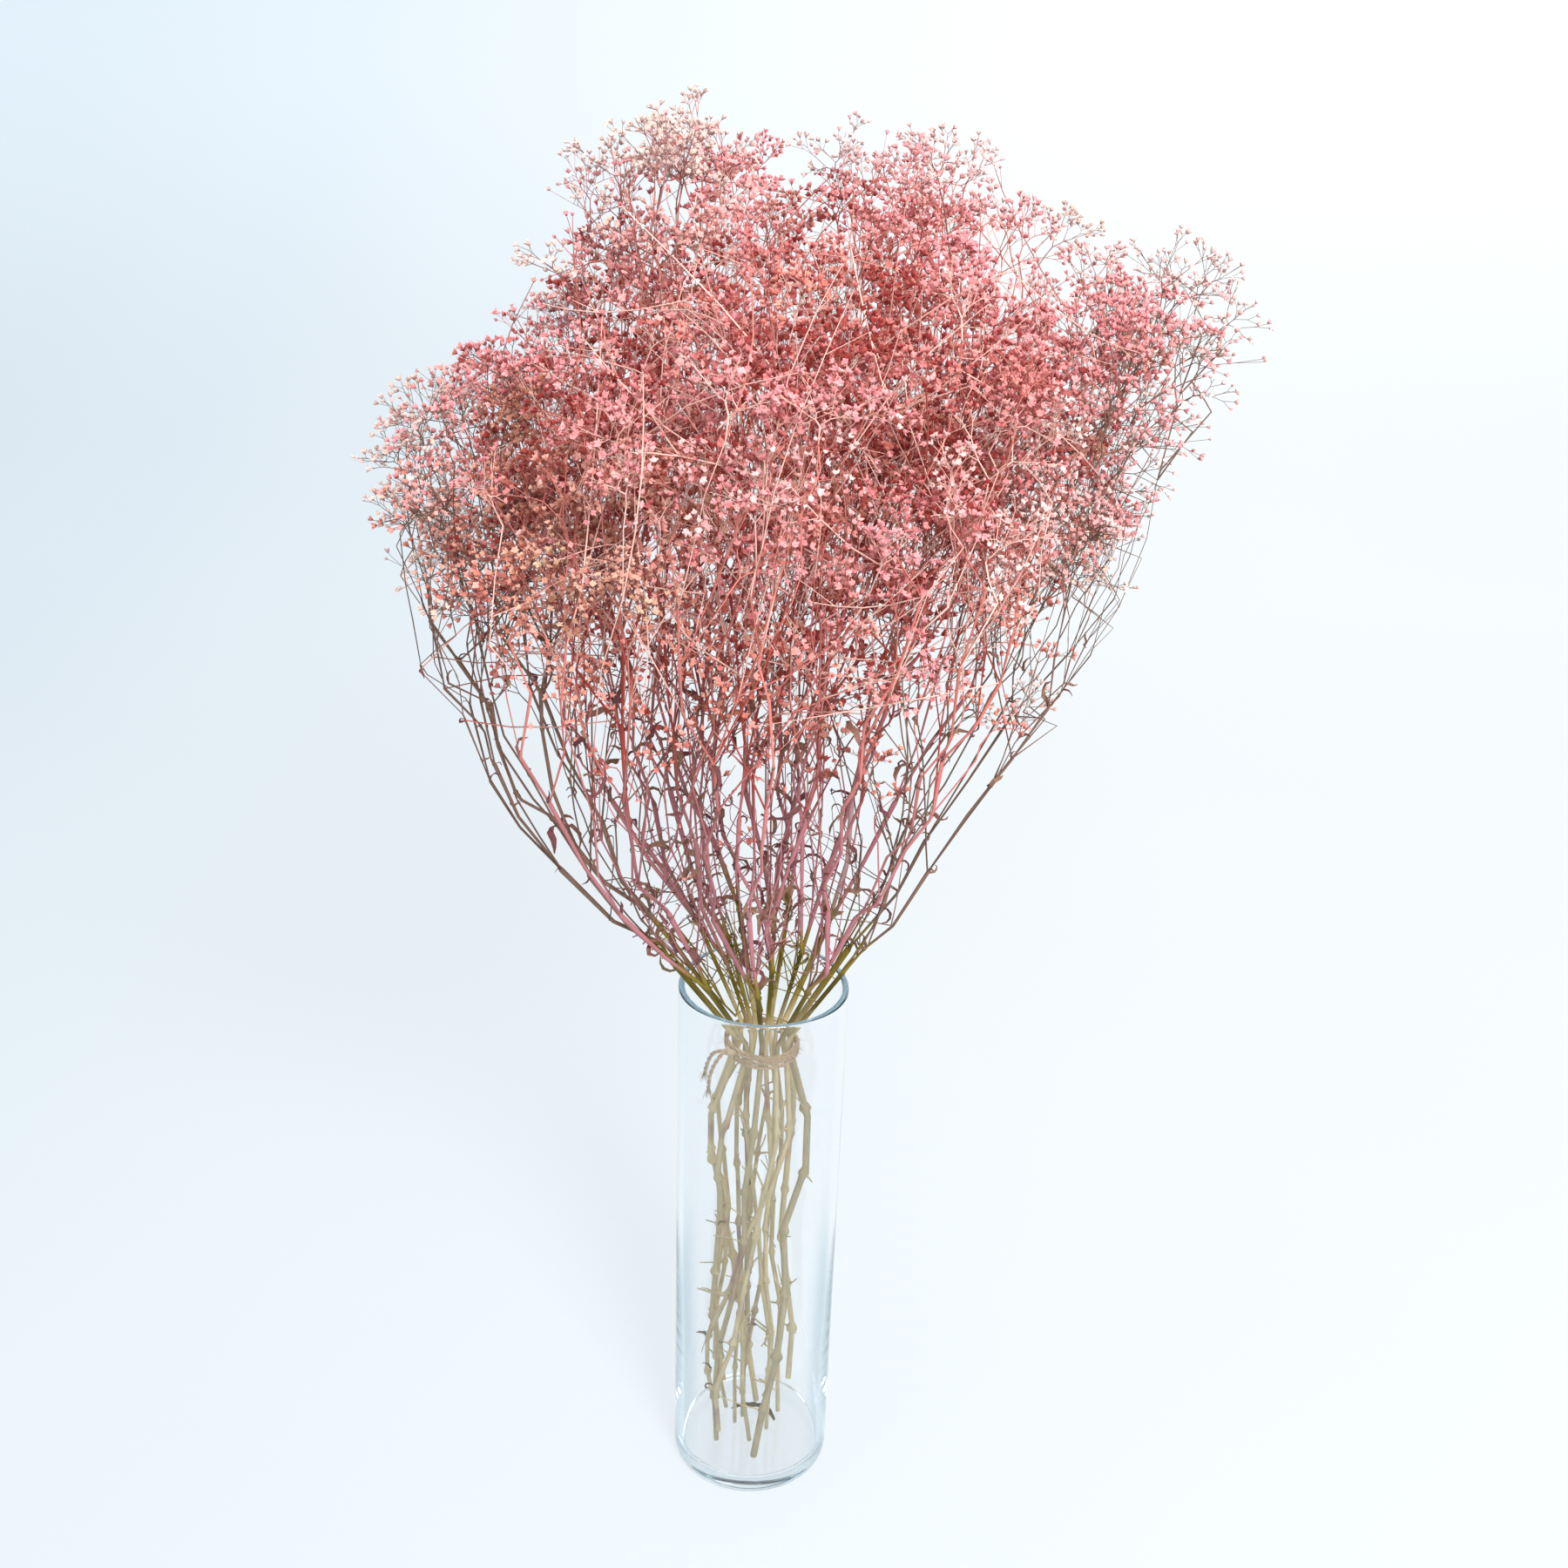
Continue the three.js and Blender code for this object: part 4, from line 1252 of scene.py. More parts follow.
@dataclass(frozen=True)
class FloretShapes:
    """The small shapes that the twigs end in: double cups of papery petals, and buds."""

    petals: int = 5
    full_cups: tuple[tuple[float, float, float], ...] = ((1.6, 2.5, 1.9),)
    plain_cups: tuple[tuple[float, float, float], ...] = (
        (1.6, 2.3, 1.9),
        (1.3, 2.7, 1.7),
        (1.75, 1.9, 2.3),
        (1.4, 2.4, 2.7),
    )
    small_cups: tuple[tuple[float, float, float], ...] = ((1.55, 2.4, 1.6), (1.7, 2.1, 2.1))
    neck_height: float = 0.9
    neck_radius: float = 0.85
    notch_share: float = 0.66
    notch_height_share: float = 0.7
    bud_radius: float = 0.85
    bud_height: float = 2.2

    def cup(self, name: str, count: int, sizes: tuple[float, float, float], full: bool) -> Object:
        """Builds a closed cup whose rim runs through petal tips and notches.

        Args:
            name: the shape's name.
            count: how many petals it has.
            sizes: radius and height of the petals' tips, and height of the inner petals.
            full: whether the cup has a round belly.

        Returns:
            An object that is in no scene.
        """
        rim, height, middle = sizes
        points = [(0.0, 0.0, 0.0)]
        rims = [0.0]
        for k in range(count if full else 0):
            points.append((*on_circle(self.neck_radius, 2 * pi * k / count), self.neck_height))
            rims.append(0.3)
        first = len(points)
        for k in range(2 * count):
            tip = k % 2 == 1
            reach = rim * (1 - 0.18 * (k % 4 == 1)) if tip else rim * self.notch_share
            level = height * (1 + 0.12 * (k % 4 == 3)) if tip else height * self.notch_height_share
            points.append((*on_circle(reach, pi * k / count), level))
            rims.append(1.0 if tip else 0.7)
        points.append((0.0, 0.0, middle))
        rims.append(0.3 + 0.6 * min(middle / height, 1))
        top = len(points) - 1
        faces: list[tuple[int, int, int]] = []
        for k in range(count):
            notch, tip, notch_next = first + 2 * k, first + 2 * k + 1, first + (2 * k + 2) % (2 * count)
            low, low_next = (1 + k, 1 + (k + 1) % count) if full else (0, 0)
            if full:
                faces += [(0, low_next, low), (low, low_next, tip)]
            faces += [(low, tip, notch), (low_next, notch_next, tip)]
            faces += [(notch, tip, top), (tip, notch_next, top)]
        return self._object(name, points, faces, rims)

    def bud(self, name: str) -> Object:
        """Builds a closed bud.

        Args:
            name: the shape's name.

        Returns:
            An object that is in no scene.
        """
        n = self.petals
        points = [(0.0, 0.0, 0.0)]
        for share, width in ((0.4, 1.0), (0.78, 0.8)):
            for k in range(n):
                ring = on_circle(self.bud_radius * width, 2 * pi * k / n)
                points.append((*ring, self.bud_height * share))
        points.append((0.0, 0.0, self.bud_height))
        faces: list[tuple[int, int, int]] = []
        top = len(points) - 1
        for k in range(n):
            a, b = 1 + k, 1 + (k + 1) % n
            faces += [(0, b, a), (a, b, b + n), (a, b + n, a + n), (a + n, b + n, top)]
        return self._object(name, points, faces, [0.0] + [0.35] * n + [0.6] * n + [0.8])

    @staticmethod
    def _object(name: str, points: Sequence, faces: Sequence, rims: Sequence[float]) -> Object:
        """Makes an object.

        Args:
            name: its name.
            points: its points, in millimetres.
            faces: its faces.
            rims: how near to a petal's rim each point is.

        Returns:
            An object that is in no scene.
        """
        mesh = point_mesh(name, points, faces=faces)
        write_columns(mesh, {"rim": rims})
        return bpy.data.objects.new(name, mesh)

    def collection(self) -> Collection:
        """Builds all shapes.

        Returns:
            A collection that is in no scene.
        """
        kit = bpy.data.collections.new("floret_shapes")
        rows = (
            ("full", self.full_cups, self.petals),
            ("plain", self.plain_cups, self.petals),
            ("small", self.small_cups, self.petals - 1),
        )
        for label, cups, count in rows:
            for k, sizes in enumerate(cups):
                kit.objects.link(self.cup(f"{label}_cup_{k}", count, sizes, label == "full"))
        kit.objects.link(self.bud("bud"))
        return kit


@dataclass
class Sprig:
    """One sprig in its own place: the twigs' lines, and where its florets sit and face."""

    lines: list[tuple[Array, Array]]
    places: Array
    facings: Array


@dataclass(frozen=True)
class SprigGrower:
    """Grows sprigs: tight heads of florets over a wide dome, on finely forking upright twigs."""

    seed: int
    variants: int
    heads: int
    florets: int
    reach: float
    spread: float = 48
    head_spacing: float = 6.4
    head_radius: float = 3.9
    floret_spacing: float = 2.45
    trunk_radius: float = 0.34
    twig_radius: float = 0.125
    pipe_exponent: float = 0.3
    head_flatness: float = 0.6
    head_tries: int = 4000
    floret_tries: int = 6000

    def grow(self, draw: random.Random) -> Sprig:
        """Grows one sprig from the origin upwards.

        Args:
            draw: the numbers that it grows by.

        Returns:
            The sprig.
        """
        florets, owners, middles = self._targets(draw)
        lines: list[tuple[Array, Array]] = []
        places: list[Array] = []
        facings: list[Array] = []

        def fork(at: Array, group: Array, line: Line) -> None:
            """Carries a line on to a group of florets, and starts side lines for the rest.

            Args:
                at: the last node.
                group: the florets' numbers.
                line: the line that has reached the node.
            """
            if len(group) == 1:
                end = florets[group[0]]
                line.add(end, self.twig_radius)
                lines.append((np.array(line.points), np.array(line.radii)))
                places.append(end)
                facings.append(unit(unit(end - at) + unit(end - middles[owners[group[0]]]) * 0.6 + UP * 0.4))
                return
            members = sorted(set(owners[group]))
            shared = len(members) > 1
            middle = np.mean([middles[m] for m in members], axis=0) if shared else florets[group].mean(0)
            share = draw.uniform(0.3, 0.48) if shared else draw.uniform(0.4, 0.62)
            node = at + (middle - at) * share
            line.add(node, self._radius(group))
            spots = np.array([middles[m] for m in owners[group]]) if shared else florets[group]
            parts = [group[chosen] for chosen in self._part(spots)]
            parts.sort(key=len, reverse=True)
            fork(node, parts[0], line)
            fork(node, parts[1], Line([node], [self._radius(parts[1])]))

        fork(np.zeros(3), np.arange(len(florets)), Line([np.zeros(3)], [self.trunk_radius]))
        return Sprig(lines, np.array(places), np.array(facings))

    def _radius(self, group: Array) -> float:
        """Gives the radius of a twig that carries a group of florets."""
        return self.twig_radius * len(group) ** self.pipe_exponent

    @staticmethod
    def _part(spots: Array) -> tuple[Array, Array]:
        """Parts points round the pair that lies furthest apart.

        Args:
            spots: the points.

        Returns:
            Which belong to the one group, and which to the other.
        """
        gaps = np.linalg.norm(spots[:, None] - spots[None], axis=2)
        i, j = np.unravel_index(np.argmax(gaps), gaps.shape)
        near = gaps[i] <= gaps[j]
        return near, ~near
    def _targets(self, draw: random.Random) -> tuple[Array, Array, list[Array]]:
        """Scatters the florets of a sprig in heads.

        Args:
            draw: the numbers that they are scattered by.

        Returns:
            The florets' places, the head that each is in, and the spot that each head faces away from.
        """
        middles: list[Array] = []
        for _ in range(self.head_tries):
            if len(middles) == self.heads:
                break
            tilt = radians(self.spread) * draw.random() ** 0.6
            turn = draw.uniform(0, 2 * pi)
            away = np.array([*on_circle(sin(tilt), turn), cos(tilt)])
            place = away * self.reach * draw.uniform(0.5, 1.12)
            if all(np.linalg.norm(place - m) > self.head_spacing for m in middles):
                middles.append(place)
        found: list[Array] = []
        owners: list[int] = []
        for _ in range(self.floret_tries):
            if len(found) == self.florets:
                break
            head = draw.randrange(len(middles))
            away = any_way(draw) * np.array([1, 1, self.head_flatness])
            place = middles[head] + away * self.head_radius * draw.random() ** 0.4
            if all(np.linalg.norm(place - f) > self.floret_spacing for f in found):
                found.append(place)
                owners.append(head)
        lowered = [m - unit(m) * self.head_radius for m in middles]
        return np.array(found), np.array(owners), lowered

    def kit(self) -> list[Sprig]:
        """Grows all variants."""
        draw = random.Random(self.seed)
        return [self.grow(draw) for _ in range(self.variants)]


# Sprays


@dataclass(frozen=True)
class CrownOutline:
    """The outline that the crown fills: its uneven top, and its left and right side by height."""

    sheaf: Sheaf
    tops: tuple[tuple[float, float], ...] = (
        (-196, 520), (-180, 546), (-166, 556), (-133, 574), (-114, 578), (-104, 600),
        (-94, 622), (-84, 652), (-62, 664), (-44, 675), (-24, 672), (-14, 648),
        (0, 650), (14, 668), (30, 658), (46, 668), (72, 664), (84, 660),
        (94, 646), (104, 618), (122, 628), (174, 620), (192, 606), (206, 576),
    )
    sides: tuple[tuple[float, float, float], ...] = (
        (330, 80, 58), (372, 112, 78), (417, 134, 106), (442, 144, 122), (472, 154, 137),
        (492, 163, 147), (526, 172, 154), (545, 168, 164), (562, 158, 177), (590, 132, 190),
        (620, 108, 182), (650, 92, 120), (680, 70, 90),
    )
    edge_width: float = 0.3
    top_depth: float = 95
    side_depth: float = 0.5
    skyline_depth: float = 34
    skyline_reach: float = 0.84

    def top(self, x: Any) -> Any:
        """Gives the height of the top at some way to the right."""
        return read_table(self.tops, x)

    def side(self, place: Array) -> float:
        """Gives the distance from the axis to the side that a place lies on."""
        return float(read_table(self.sides, place[2], 1 if place[0] < 0 else 2))

    def reach(self, place: Array) -> float:
        """Gives how far out a place lies, 1 on the side."""
        half_depth = self.sheaf.value("depth", place[2]) * 1.02
        return hypot(place[0] / self.side(place), place[1] / half_depth)

    def depth(self, place: Array) -> float:
        """Gives how deep inside the crown a place lies, from 0 outside to 1."""
        down = (self.top(place[0]) - place[2]) / self.top_depth
        return float(clamp(min(down, (1 - self.reach(place)) / self.side_depth)))

    def edge(self, place: Array) -> float:
        """Gives how near the outside of the crown a place lies, from 0 inside to 1."""
        return max(0.0, 1 - self.depth(place) / self.edge_width)

    def on_skyline(self, place: Array) -> bool:
        """Tells whether a place lies at the crown's left or right side, or at its top."""
        beside = abs(place[0]) / self.side(place)
        return beside > self.skyline_reach or self.top(place[0]) - place[2] < self.skyline_depth

    def holds(self, place: Array, margin: float) -> bool:
        """Tells whether a place lies inside by a margin in millimetres."""
        return self.reach(place) < 1 - margin / self.side(place) and place[2] < self.top(place[0]) - margin

    def pull(self, places: Array) -> Array:
        """Draws places in.

        Args:
            places: the places, which keep their form.

        Returns:
            The shift that brings them inside the outline.
        """
        reaches = np.array([self.reach(place) for place in places])
        far = places[int(reaches.argmax())]
        over = max(0.0, float(reaches.max()) - 1) * self.side(far)
        inward = -unit(np.array([far[0], far[1], 0.0])) * over
        high = float(np.max(places[:, 2] - self.top(places[:, 0])))
        return inward - UP * max(0.0, high)


@dataclass(frozen=True)
class DyeAndShadePatch:
    """A ball of the crown, in millimetres, in which the dye took otherwise than in the rest: paler where
    faded is above 0, tan by dry, and darkened as painted shade where faded is below 0.
    """

    x: float
    y: float
    z: float
    radius: float
    faded: float = 0.0
    dry: float = 0.0

    def share(self, place: Array) -> float:
        """Gives how far a place belongs to the patch, from 0 to 1."""
        return clamp((1 - dist(place, (self.x, self.y, self.z)) / self.radius) * 2)


@dataclass
class Joint:
    """A node of a branch that a side shoot may start from."""

    place: Array
    ahead: Array
    width: float


@dataclass
class SprayDresser:
    """Grows the fine branches, leaves and florets of one spray."""

    crown: Crown
    stems: StemPlan
    outline: CrownOutline
    sprigs: list[Sprig]
    sparse_sprigs: list[Sprig]
    small_sprigs: list[Sprig]
    seed: int = 5200
    branch_radius: float = 0.257
    branch_exponent: float = 0.5
    node_swelling: float = 1.45
    node_length: float = 1.7
    node_step: float = 25
    plain_above: float = 475
    bow: float = 0.13
    sway: float = 9
    sway_band: tuple[float, float] = (310, 370)
    sprig_sink: float = 15
    sprig_base_radius: float = 0.34
    sprig_sizes: tuple[float, float] = (0.84, 1.14)
    floret_sizes: tuple[float, float] = (0.64, 1.0)
    deep_floret_growth: float = 0.42
    dry_chance: float = 0.07
    # Painted light and shade on the florets: paler at the crown's outside and on its skyline, darker deep
    # inside.
    outer_painted_light: float = 0.55
    skyline_painted_light: float = 0.15
    skyline_fineness: float = 0.8
    deep_painted_shade: float = 0.4
    stub_lengths: tuple[float, ...] = (3, 4, 6, 9, 14, 22)
    glass_reach: float = 33
    glass_top: float = 285
    shoots: int = 8
    shoot_band: tuple[float, float] = (315, 500)
    bare_shoot_band: tuple[float, float] = (395, 455)
    tangles: int = 7
    tangle_band: tuple[float, float] = (270, 330)
    tangle_curls: tuple[float, ...] = (0.8, 1.5, 3.0, 7.0)
    rim_top: float = 292
    rim_reach: float = 29
    leafy_below: float = 345
    leafless_above: float = 470
    shoot_spread: tuple[float, float] = (26, 56)
    shoot_tries: int = 5
    low_shoots: int = 2
    low_shoot_feet: tuple[float, float] = (264, 312)
    low_shoot_tops: tuple[float, float] = (380, 500)
    low_shoot_radius: float = 0.55
    squeeze: float = 0.09
    squeeze_reach: float = 28
    slimming: tuple[tuple[float, float], ...] = (
        (262, 0.0), (295, 0.09), (380, 0.11), (430, 0.1), (480, 0.07), (570, 0.03),
    )
    slim_sprays: tuple[int, ...] = (0, 10)
    slim_share: float = 0.66
    inner_share: float = 0.72
    twist: float = 1.75
    twist_length: float = 200
    fillers: int = 27
    filler_band: tuple[float, float] = (400, 520)
    strays: int = 60
    stray_from: float = 430
    stray_lengths: tuple[float, ...] = (100, 80, 64, 50, 36)
    shed_below: float = 460
    shed_length: float = 70
    shed_reach: float = 90
    undyed_sprays: tuple[int, ...] = (0, 5, 6, 10)
    tips: tuple[tuple[int, float, float, float], ...] = (
        (0, 180, 2, 596), (0, 174, -26, 582), (0, 166, 16, 604), (0, 148, -14, 610),
        (10, 158, -46, 574), (10, 146, -40, 592), (4, -76, 4, 640), (13, -64, 8, 648),
        (13, -46, 10, 649), (13, -34, -6, 653), (13, -24, 12, 651), (14, -38, -22, 648),
        (11, 54, 6, 648), (11, 66, -6, 644), (11, 84, 4, 632), (1, 92, 24, 624),
        (10, 129, -30, 442), (10, 118, -36, 450), (9, 94, -50, 442), (9, 41, -62, 412),
        (0, 120, -20, 425), (4, -96, 10, 626), (4, -78, 6, 640),
    )
    # Balls with faded below 0 are painted shade in the crown's recesses; the others are spots of paler and
    # tan dye.
    dye_and_shade_patches: tuple[DyeAndShadePatch, ...] = (
        DyeAndShadePatch(-64, -90, 502, 52, dry=0.75),
        DyeAndShadePatch(-51, -90, 530, 34, faded=0.5, dry=0.3),
        DyeAndShadePatch(16, -90, 522, 40, faded=0.3, dry=0.25),
        DyeAndShadePatch(104, -60, 496, 44, faded=0.45, dry=0.3),
        DyeAndShadePatch(-45, -40, 623, 42, faded=0.5, dry=0.35),
        DyeAndShadePatch(-165, 0, 510, 75, faded=0.5, dry=0.4),
        DyeAndShadePatch(134, -40, 582, 40, faded=0.4),
        DyeAndShadePatch(-30, 0, 660, 56, faded=0.6, dry=0.1),
        DyeAndShadePatch(60, 0, 655, 50, faded=0.35),
        DyeAndShadePatch(-88, -5, 640, 64, faded=0.7, dry=0.15),
        DyeAndShadePatch(-76, -85, 541, 58, faded=-0.5),
        DyeAndShadePatch(54, -80, 545, 56, faded=-0.5),
        DyeAndShadePatch(-10, -80, 560, 45, faded=-0.15),
        DyeAndShadePatch(60, -60, 470, 60, faded=-0.25),
    )

    def dress(self, index: int, florets: list[Fork]) -> tuple[Wires, Marks, Marks]:
        """Grows one spray.

        Args:
            index: the spray's number, from 0.
            florets: the florets scattered for it.

        Returns:
            Lines of stem, branches and twigs, the floret points and the leaf points.
        """
        spray = self.crown.sprays[index]
        self.draw = random.Random(self.seed + index)
        self.ring = spray.ring
        self.undyed = 0.75 if index in self.undyed_sprays else self._some(0.0, 0.45)
        self.slim = self.slim_share if index in self.slim_sprays else 1.0
        self.faded = self._some(-0.15, 0.12)
        self.wires, self.heads, self.leaves = Wires(), Marks(), Marks()
        self.joints: list[Joint] = []
        self.sways: dict[int, Array] = {}
        top = self.crown.grow(spray, florets)
        self._let_sway(top)
        self.stem_spot = (top.a, top.b)
        self._branches(top, self._stem(spray, top))
        joints = list(self.joints)
        self._shoots()
        self._tips(index, joints)
        self._fillers(joints)
        self._strays(joints)
        return self.wires, self.heads, self.leaves

    def _let_sway(self, top: Fork) -> None:
        """Gives every fork above one a small shift of its own.

        Args:
            top: the fork below them.
        """
        low, high = self.sway_band
        for child in top.children:
            for spot in (child, child.bend):
                if spot:
                    freedom = clamp((spot.z - low) / (high - low)) * (0.55 if spot.z < 440 else 1.0)
                    self.sways[id(spot)] = self._any_way() * np.array([1, 1, 0.5]) * self.sway * freedom
            self._let_sway(child)

    def _shift(self, spot: Fork) -> Array:
        """Gives the shift of a fork."""
        return self.sways.get(id(spot), np.zeros(3))

    def _place(self, spot: Fork) -> Array:
        """Turns a spot into a place in this spray's ring, drawn in by the twine and the outline.

        Args:
            spot: the spot of the sheaf.

        Returns:
            The place, in millimetres.
        """
        place = self.crown.sheaf.place(spot, self.ring)
        tight = 1 - self.squeeze * exp(-(((spot.z - self.stems.tie_height) / self.squeeze_reach) ** 2))
        slim = 1 - read_table(self.slimming, spot.z)
        place = place * np.array([tight * slim, tight, 1.0]) + self._shift(spot)
        pulled = 0.75 if place[2] > self.outline.sides[0][0] else 0.0
        return place + self.outline.pull(place[None, :]) * pulled

    def _any_way(self) -> Array:
        """Gives a random direction."""
        return any_way(self.draw)

    def _some(self, low: float, high: float) -> float:
        """Gives a random number between two."""
        return self.draw.uniform(low, high)

    def _stem(self, spray: Spray, top: Fork) -> Line:
        """Grows the stem.

        Args:
            spray: the spray.
            top: its first fork.

        Returns:
            The line up to just below the first fork.
        """
        line = Line()
        heights = self.stems.heights(spray)
        share = 1.0 if spray.ring is Ring.OUTER else self.inner_share
        thick = self.stems.radius * self._some(0.75, 1.2) * share
        twist = self._some(-self.twist, self.twist)

        def at(z: float) -> Array:
            """Gives the stem's place at a height, turned about the axis below the twine."""
            turn = twist * clamp((self.stems.tie_height - z) / self.twist_length)
            return np.array([*turned(*self._place(Fork(top.a, top.b, z))[:2], turn), z])

        for k, z in enumerate(heights):
            place = at(z)
            width = thick * (1.0 if z < self.stems.tie_height else 0.9)
            free = abs(z - self.stems.tie_height) > self.stems.tie_reach + 1
            if not free or k in (0, len(heights) - 1):
                line.add(place, width)
                continue
            ahead = unit(at(z + 1) - place)
            place = place + self._any_way() * np.array([1, 1, 0]) * self._some(0.4, 2.4)
            knob = self.stems.swelling * self._some(0.85, 1.2)
            for away, size in ((-4.0, 0.97), (-1.4, 1.1), (0, knob), (1.4, knob * 0.92), (4.0, 1.0)):
                line.add(place + ahead * away, width * size)
            self._stubs(place, ahead)
        return line

    def _stubs(self, place: Array, ahead: Array) -> None:
        """Adds what is left of side twigs on a node of the stem.

        Args:
            place: the node.
            ahead: the way the stem runs.
        """
        for turn in (0, pi, pi / 2):
            if self.draw.random() < 0.35:
                continue
            out = around(square_to(ahead), turn + self._some(-0.6, 0.6))
            length = self.draw.choice(self.stub_lengths)
            aim = unit(out + ahead * self._some(-0.4, 1.6))
            middle = place + aim * (self.stems.radius + length * 0.5) + self._any_way() * length * 0.06
            end = place + aim * (self.stems.radius + length)
            if hypot(end[0], end[1]) > self.glass_reach and end[2] < self.glass_top:
                continue
            thick = self._some(0.3, 0.6)
            self.wires.add([place, middle, end], [thick * 1.2, thick, thick * 0.8], self.draw.random())
            if self.draw.random() < (0.3 if place[2] > self.stems.tie_height else 0.08):
                self._leaf(end, aim + self._any_way(), (0.4, 0.8))

    def _leaf(self, place: Array, facing: Array, sizes: tuple[float, float]) -> None:
        """Adds one leaf, of a size between two."""
        self.leaves.add(place, unit(facing), self._some(*sizes), self.draw.random())

    def _branches(self, node: Fork, line: Line) -> None:
        """Carries a line on along the largest branch of a fork, and starts lines for the others.

        Args:
            node: the fork.
            line: the line that reaches it.
        """
        place = self._place(node)
        ahead = unit(place - line.points[-1])
        line.add(place, self._width(node.count) * self.node_swelling)
        self.joints.append(Joint(place, ahead, self._width(node.count)))
        self._leaf_pair(place, ahead)
        for child in node.children[1:]:
            self._follow(node, child, Line([place], [self._width(child.count)]))
        self._follow(node, node.children[0], line)

    def _width(self, count: int) -> float:
        """Gives the radius of a branch that carries a number of sprigs."""
        return self.branch_radius * self.slim * count**self.branch_exponent

    def _knuckle(self, line: Line, place: Array, ahead: Array) -> None:
        """Adds a swollen node, with leaves.

        Args:
            line: the line that it is added to.
            place: where it is.
            ahead: the way the line runs.
        """
        width = line.radii[-1]
        line.add(place - ahead * self.node_length, width)
        line.add(place, width * self.node_swelling)
        line.add(place + ahead * self.node_length, width * 0.97)
        self.joints.append(Joint(place, ahead, width))
        self._leaf_pair(place, ahead)

    def _follow(self, start: Fork, node: Fork, line: Line) -> None:
        """Carries a line from a fork up to the next node, and on from there.

        Args:
            start: the fork.
            node: the node.
            line: the line that has reached the fork.
        """
        width = self._width(node.count)
        before = start
        for spot in self.crown.path(start, node):
            here, there = self._place(before), self._place(spot)
            length = float(np.linalg.norm(there - here))
            ahead = unit(there - here)
            if before is start:
                line.add(here + ahead * min(3.0, length * 0.3), width)
            bow = self._any_way() * length * self.bow
            steps = max(1, round(length / self.node_step))
            for k in range(1, steps):
                t = k / steps
                mid = Fork(*(getattr(before, n) + (getattr(spot, n) - getattr(before, n)) * t for n in "abz"))
                drift = self._shift(before) * (1 - t) + self._shift(spot) * t
                place = (self._place(mid) + drift) * 0.6 + (here + (there - here) * t) * 0.4
                place = place + bow * sin(pi * t) + self._any_way() * 0.8
                if place[2] > self.plain_above:
                    line.add(place, width)
                    self.joints.append(Joint(place, ahead, width))
                else:
                    line.add(place - ahead * 3, width)
                    self._knuckle(line, place, ahead)
            if spot is not node:
                line.add(there, width * 1.1)
            before = spot
        if node.children:
            self._branches(node, line)
            return
        place = self._place(node)
        outer = self.outline.reach(place) > 0.8 and place[2] < 575
        sparse = self.draw.random() < (0.65 if outer else 0.6 * (self.outline.depth(place) > 0.6))
        self._sprig(place, line, self.sparse_sprigs if sparse else self.sprigs)

    def _sprig(self, place: Array, line: Line, kit: list[Sprig]) -> None:
        """Ends a line in a sprig of florets.

        Args:
            place: the sprig's middle.
            line: the line that carries it.
            kit: the sprigs that it may be.
        """
        gap = place - line.points[-1]
        length = float(np.linalg.norm(gap))
        base = place - unit(gap) * min(self.sprig_sink, length * 0.75)
        out = np.array([place[0], place[1], 0]) / 170
        axis = unit(unit(gap) + out * 0.3 + UP * 0.25 + self._any_way() * 0.22)
        size = self._some(*self.sprig_sizes)
        across = around(square_to(axis), self._some(0, 2 * pi))
        axes = np.stack([across, np.cross(axis, across), axis])
        sprig = kit[self.draw.randrange(len(kit))]
        shift = self.outline.pull(sprig.places @ axes * size + base)
        base = base + shift * self._some(0.75, 1.0)
        tone = self.draw.random()
        if length > 24:
            line.add((line.points[-1] + base) / 2 + self._any_way() * length * 0.04, line.radii[-1])
        line.add(base, self.sprig_base_radius)
        depth = self.outline.depth(place)
        outside = self.outline.on_skyline(place)
        # The twigs' painted light and shade.
        shade = self._twig_shade(place)
        shares = [patch.share(place) for patch in self.dye_and_shade_patches]
        dry = sum(patch.dry * share for patch, share in zip(self.dye_and_shade_patches, shares))
        dry = dry + 0.5 * (self.draw.random() < self.dry_chance)
        plain = shade > -1 or line.radii[0] < 0.45
        self.wires.add(line.points, line.radii, tone, self.undyed, shade if plain else 0.0)
        for points, widths in sprig.lines:
            widths = widths * (self.skyline_fineness if outside else 1.0)
            self.wires.add(points @ axes * size + base, widths, tone, self.undyed + dry * 0.5, shade)
        # Florets: painted light pales them at the outside and on the skyline, painted shade darkens them deep
        # inside, and the balls add paler dye, tan and painted shade.
        faded = self.faded + self.outer_painted_light * self.outline.edge(place) - self.deep_painted_shade * depth
        faded = faded + self._some(-0.25, 0.25)
        faded = faded + sum(patch.faded * share for patch, share in zip(self.dye_and_shade_patches, shares))
        faded = faded + self.skyline_painted_light * outside
        for spot, facing in zip(sprig.places @ axes * size + base, sprig.facings @ axes):
            aim = unit(facing + self._any_way() * 0.4)
            wide = self._some(*self.floret_sizes) * (1 + self.deep_floret_growth * depth)
            chance = self.draw.random()
            low = clamp((self.shed_below - spot[2]) / self.shed_length) * (abs(spot[0]) < self.shed_reach)
            if 1 - chance > low * 0.75:
                self.heads.add(spot, aim, wide, chance, faded + low * 0.15, dry + low * 0.3)

    def _twig_shade(self, place: Array) -> float:
        """Gives the painted light and shade of a sprig's twigs.

        Args:
            place: the sprig's middle.

        Returns:
            A number: below -1 painted light, below 0 painted shade deep inside, and above 0 mauve, painted
                shade on the skyline against the bright backdrop.
        """
        edge = self.outline.edge(place)
        if edge > 0 and self.outline.on_skyline(place):
            return edge
        if self.draw.random() < 0.25 + 0.5 * edge:
            return self._some(-2.2, -1.45)
        return -self.outline.depth(place)

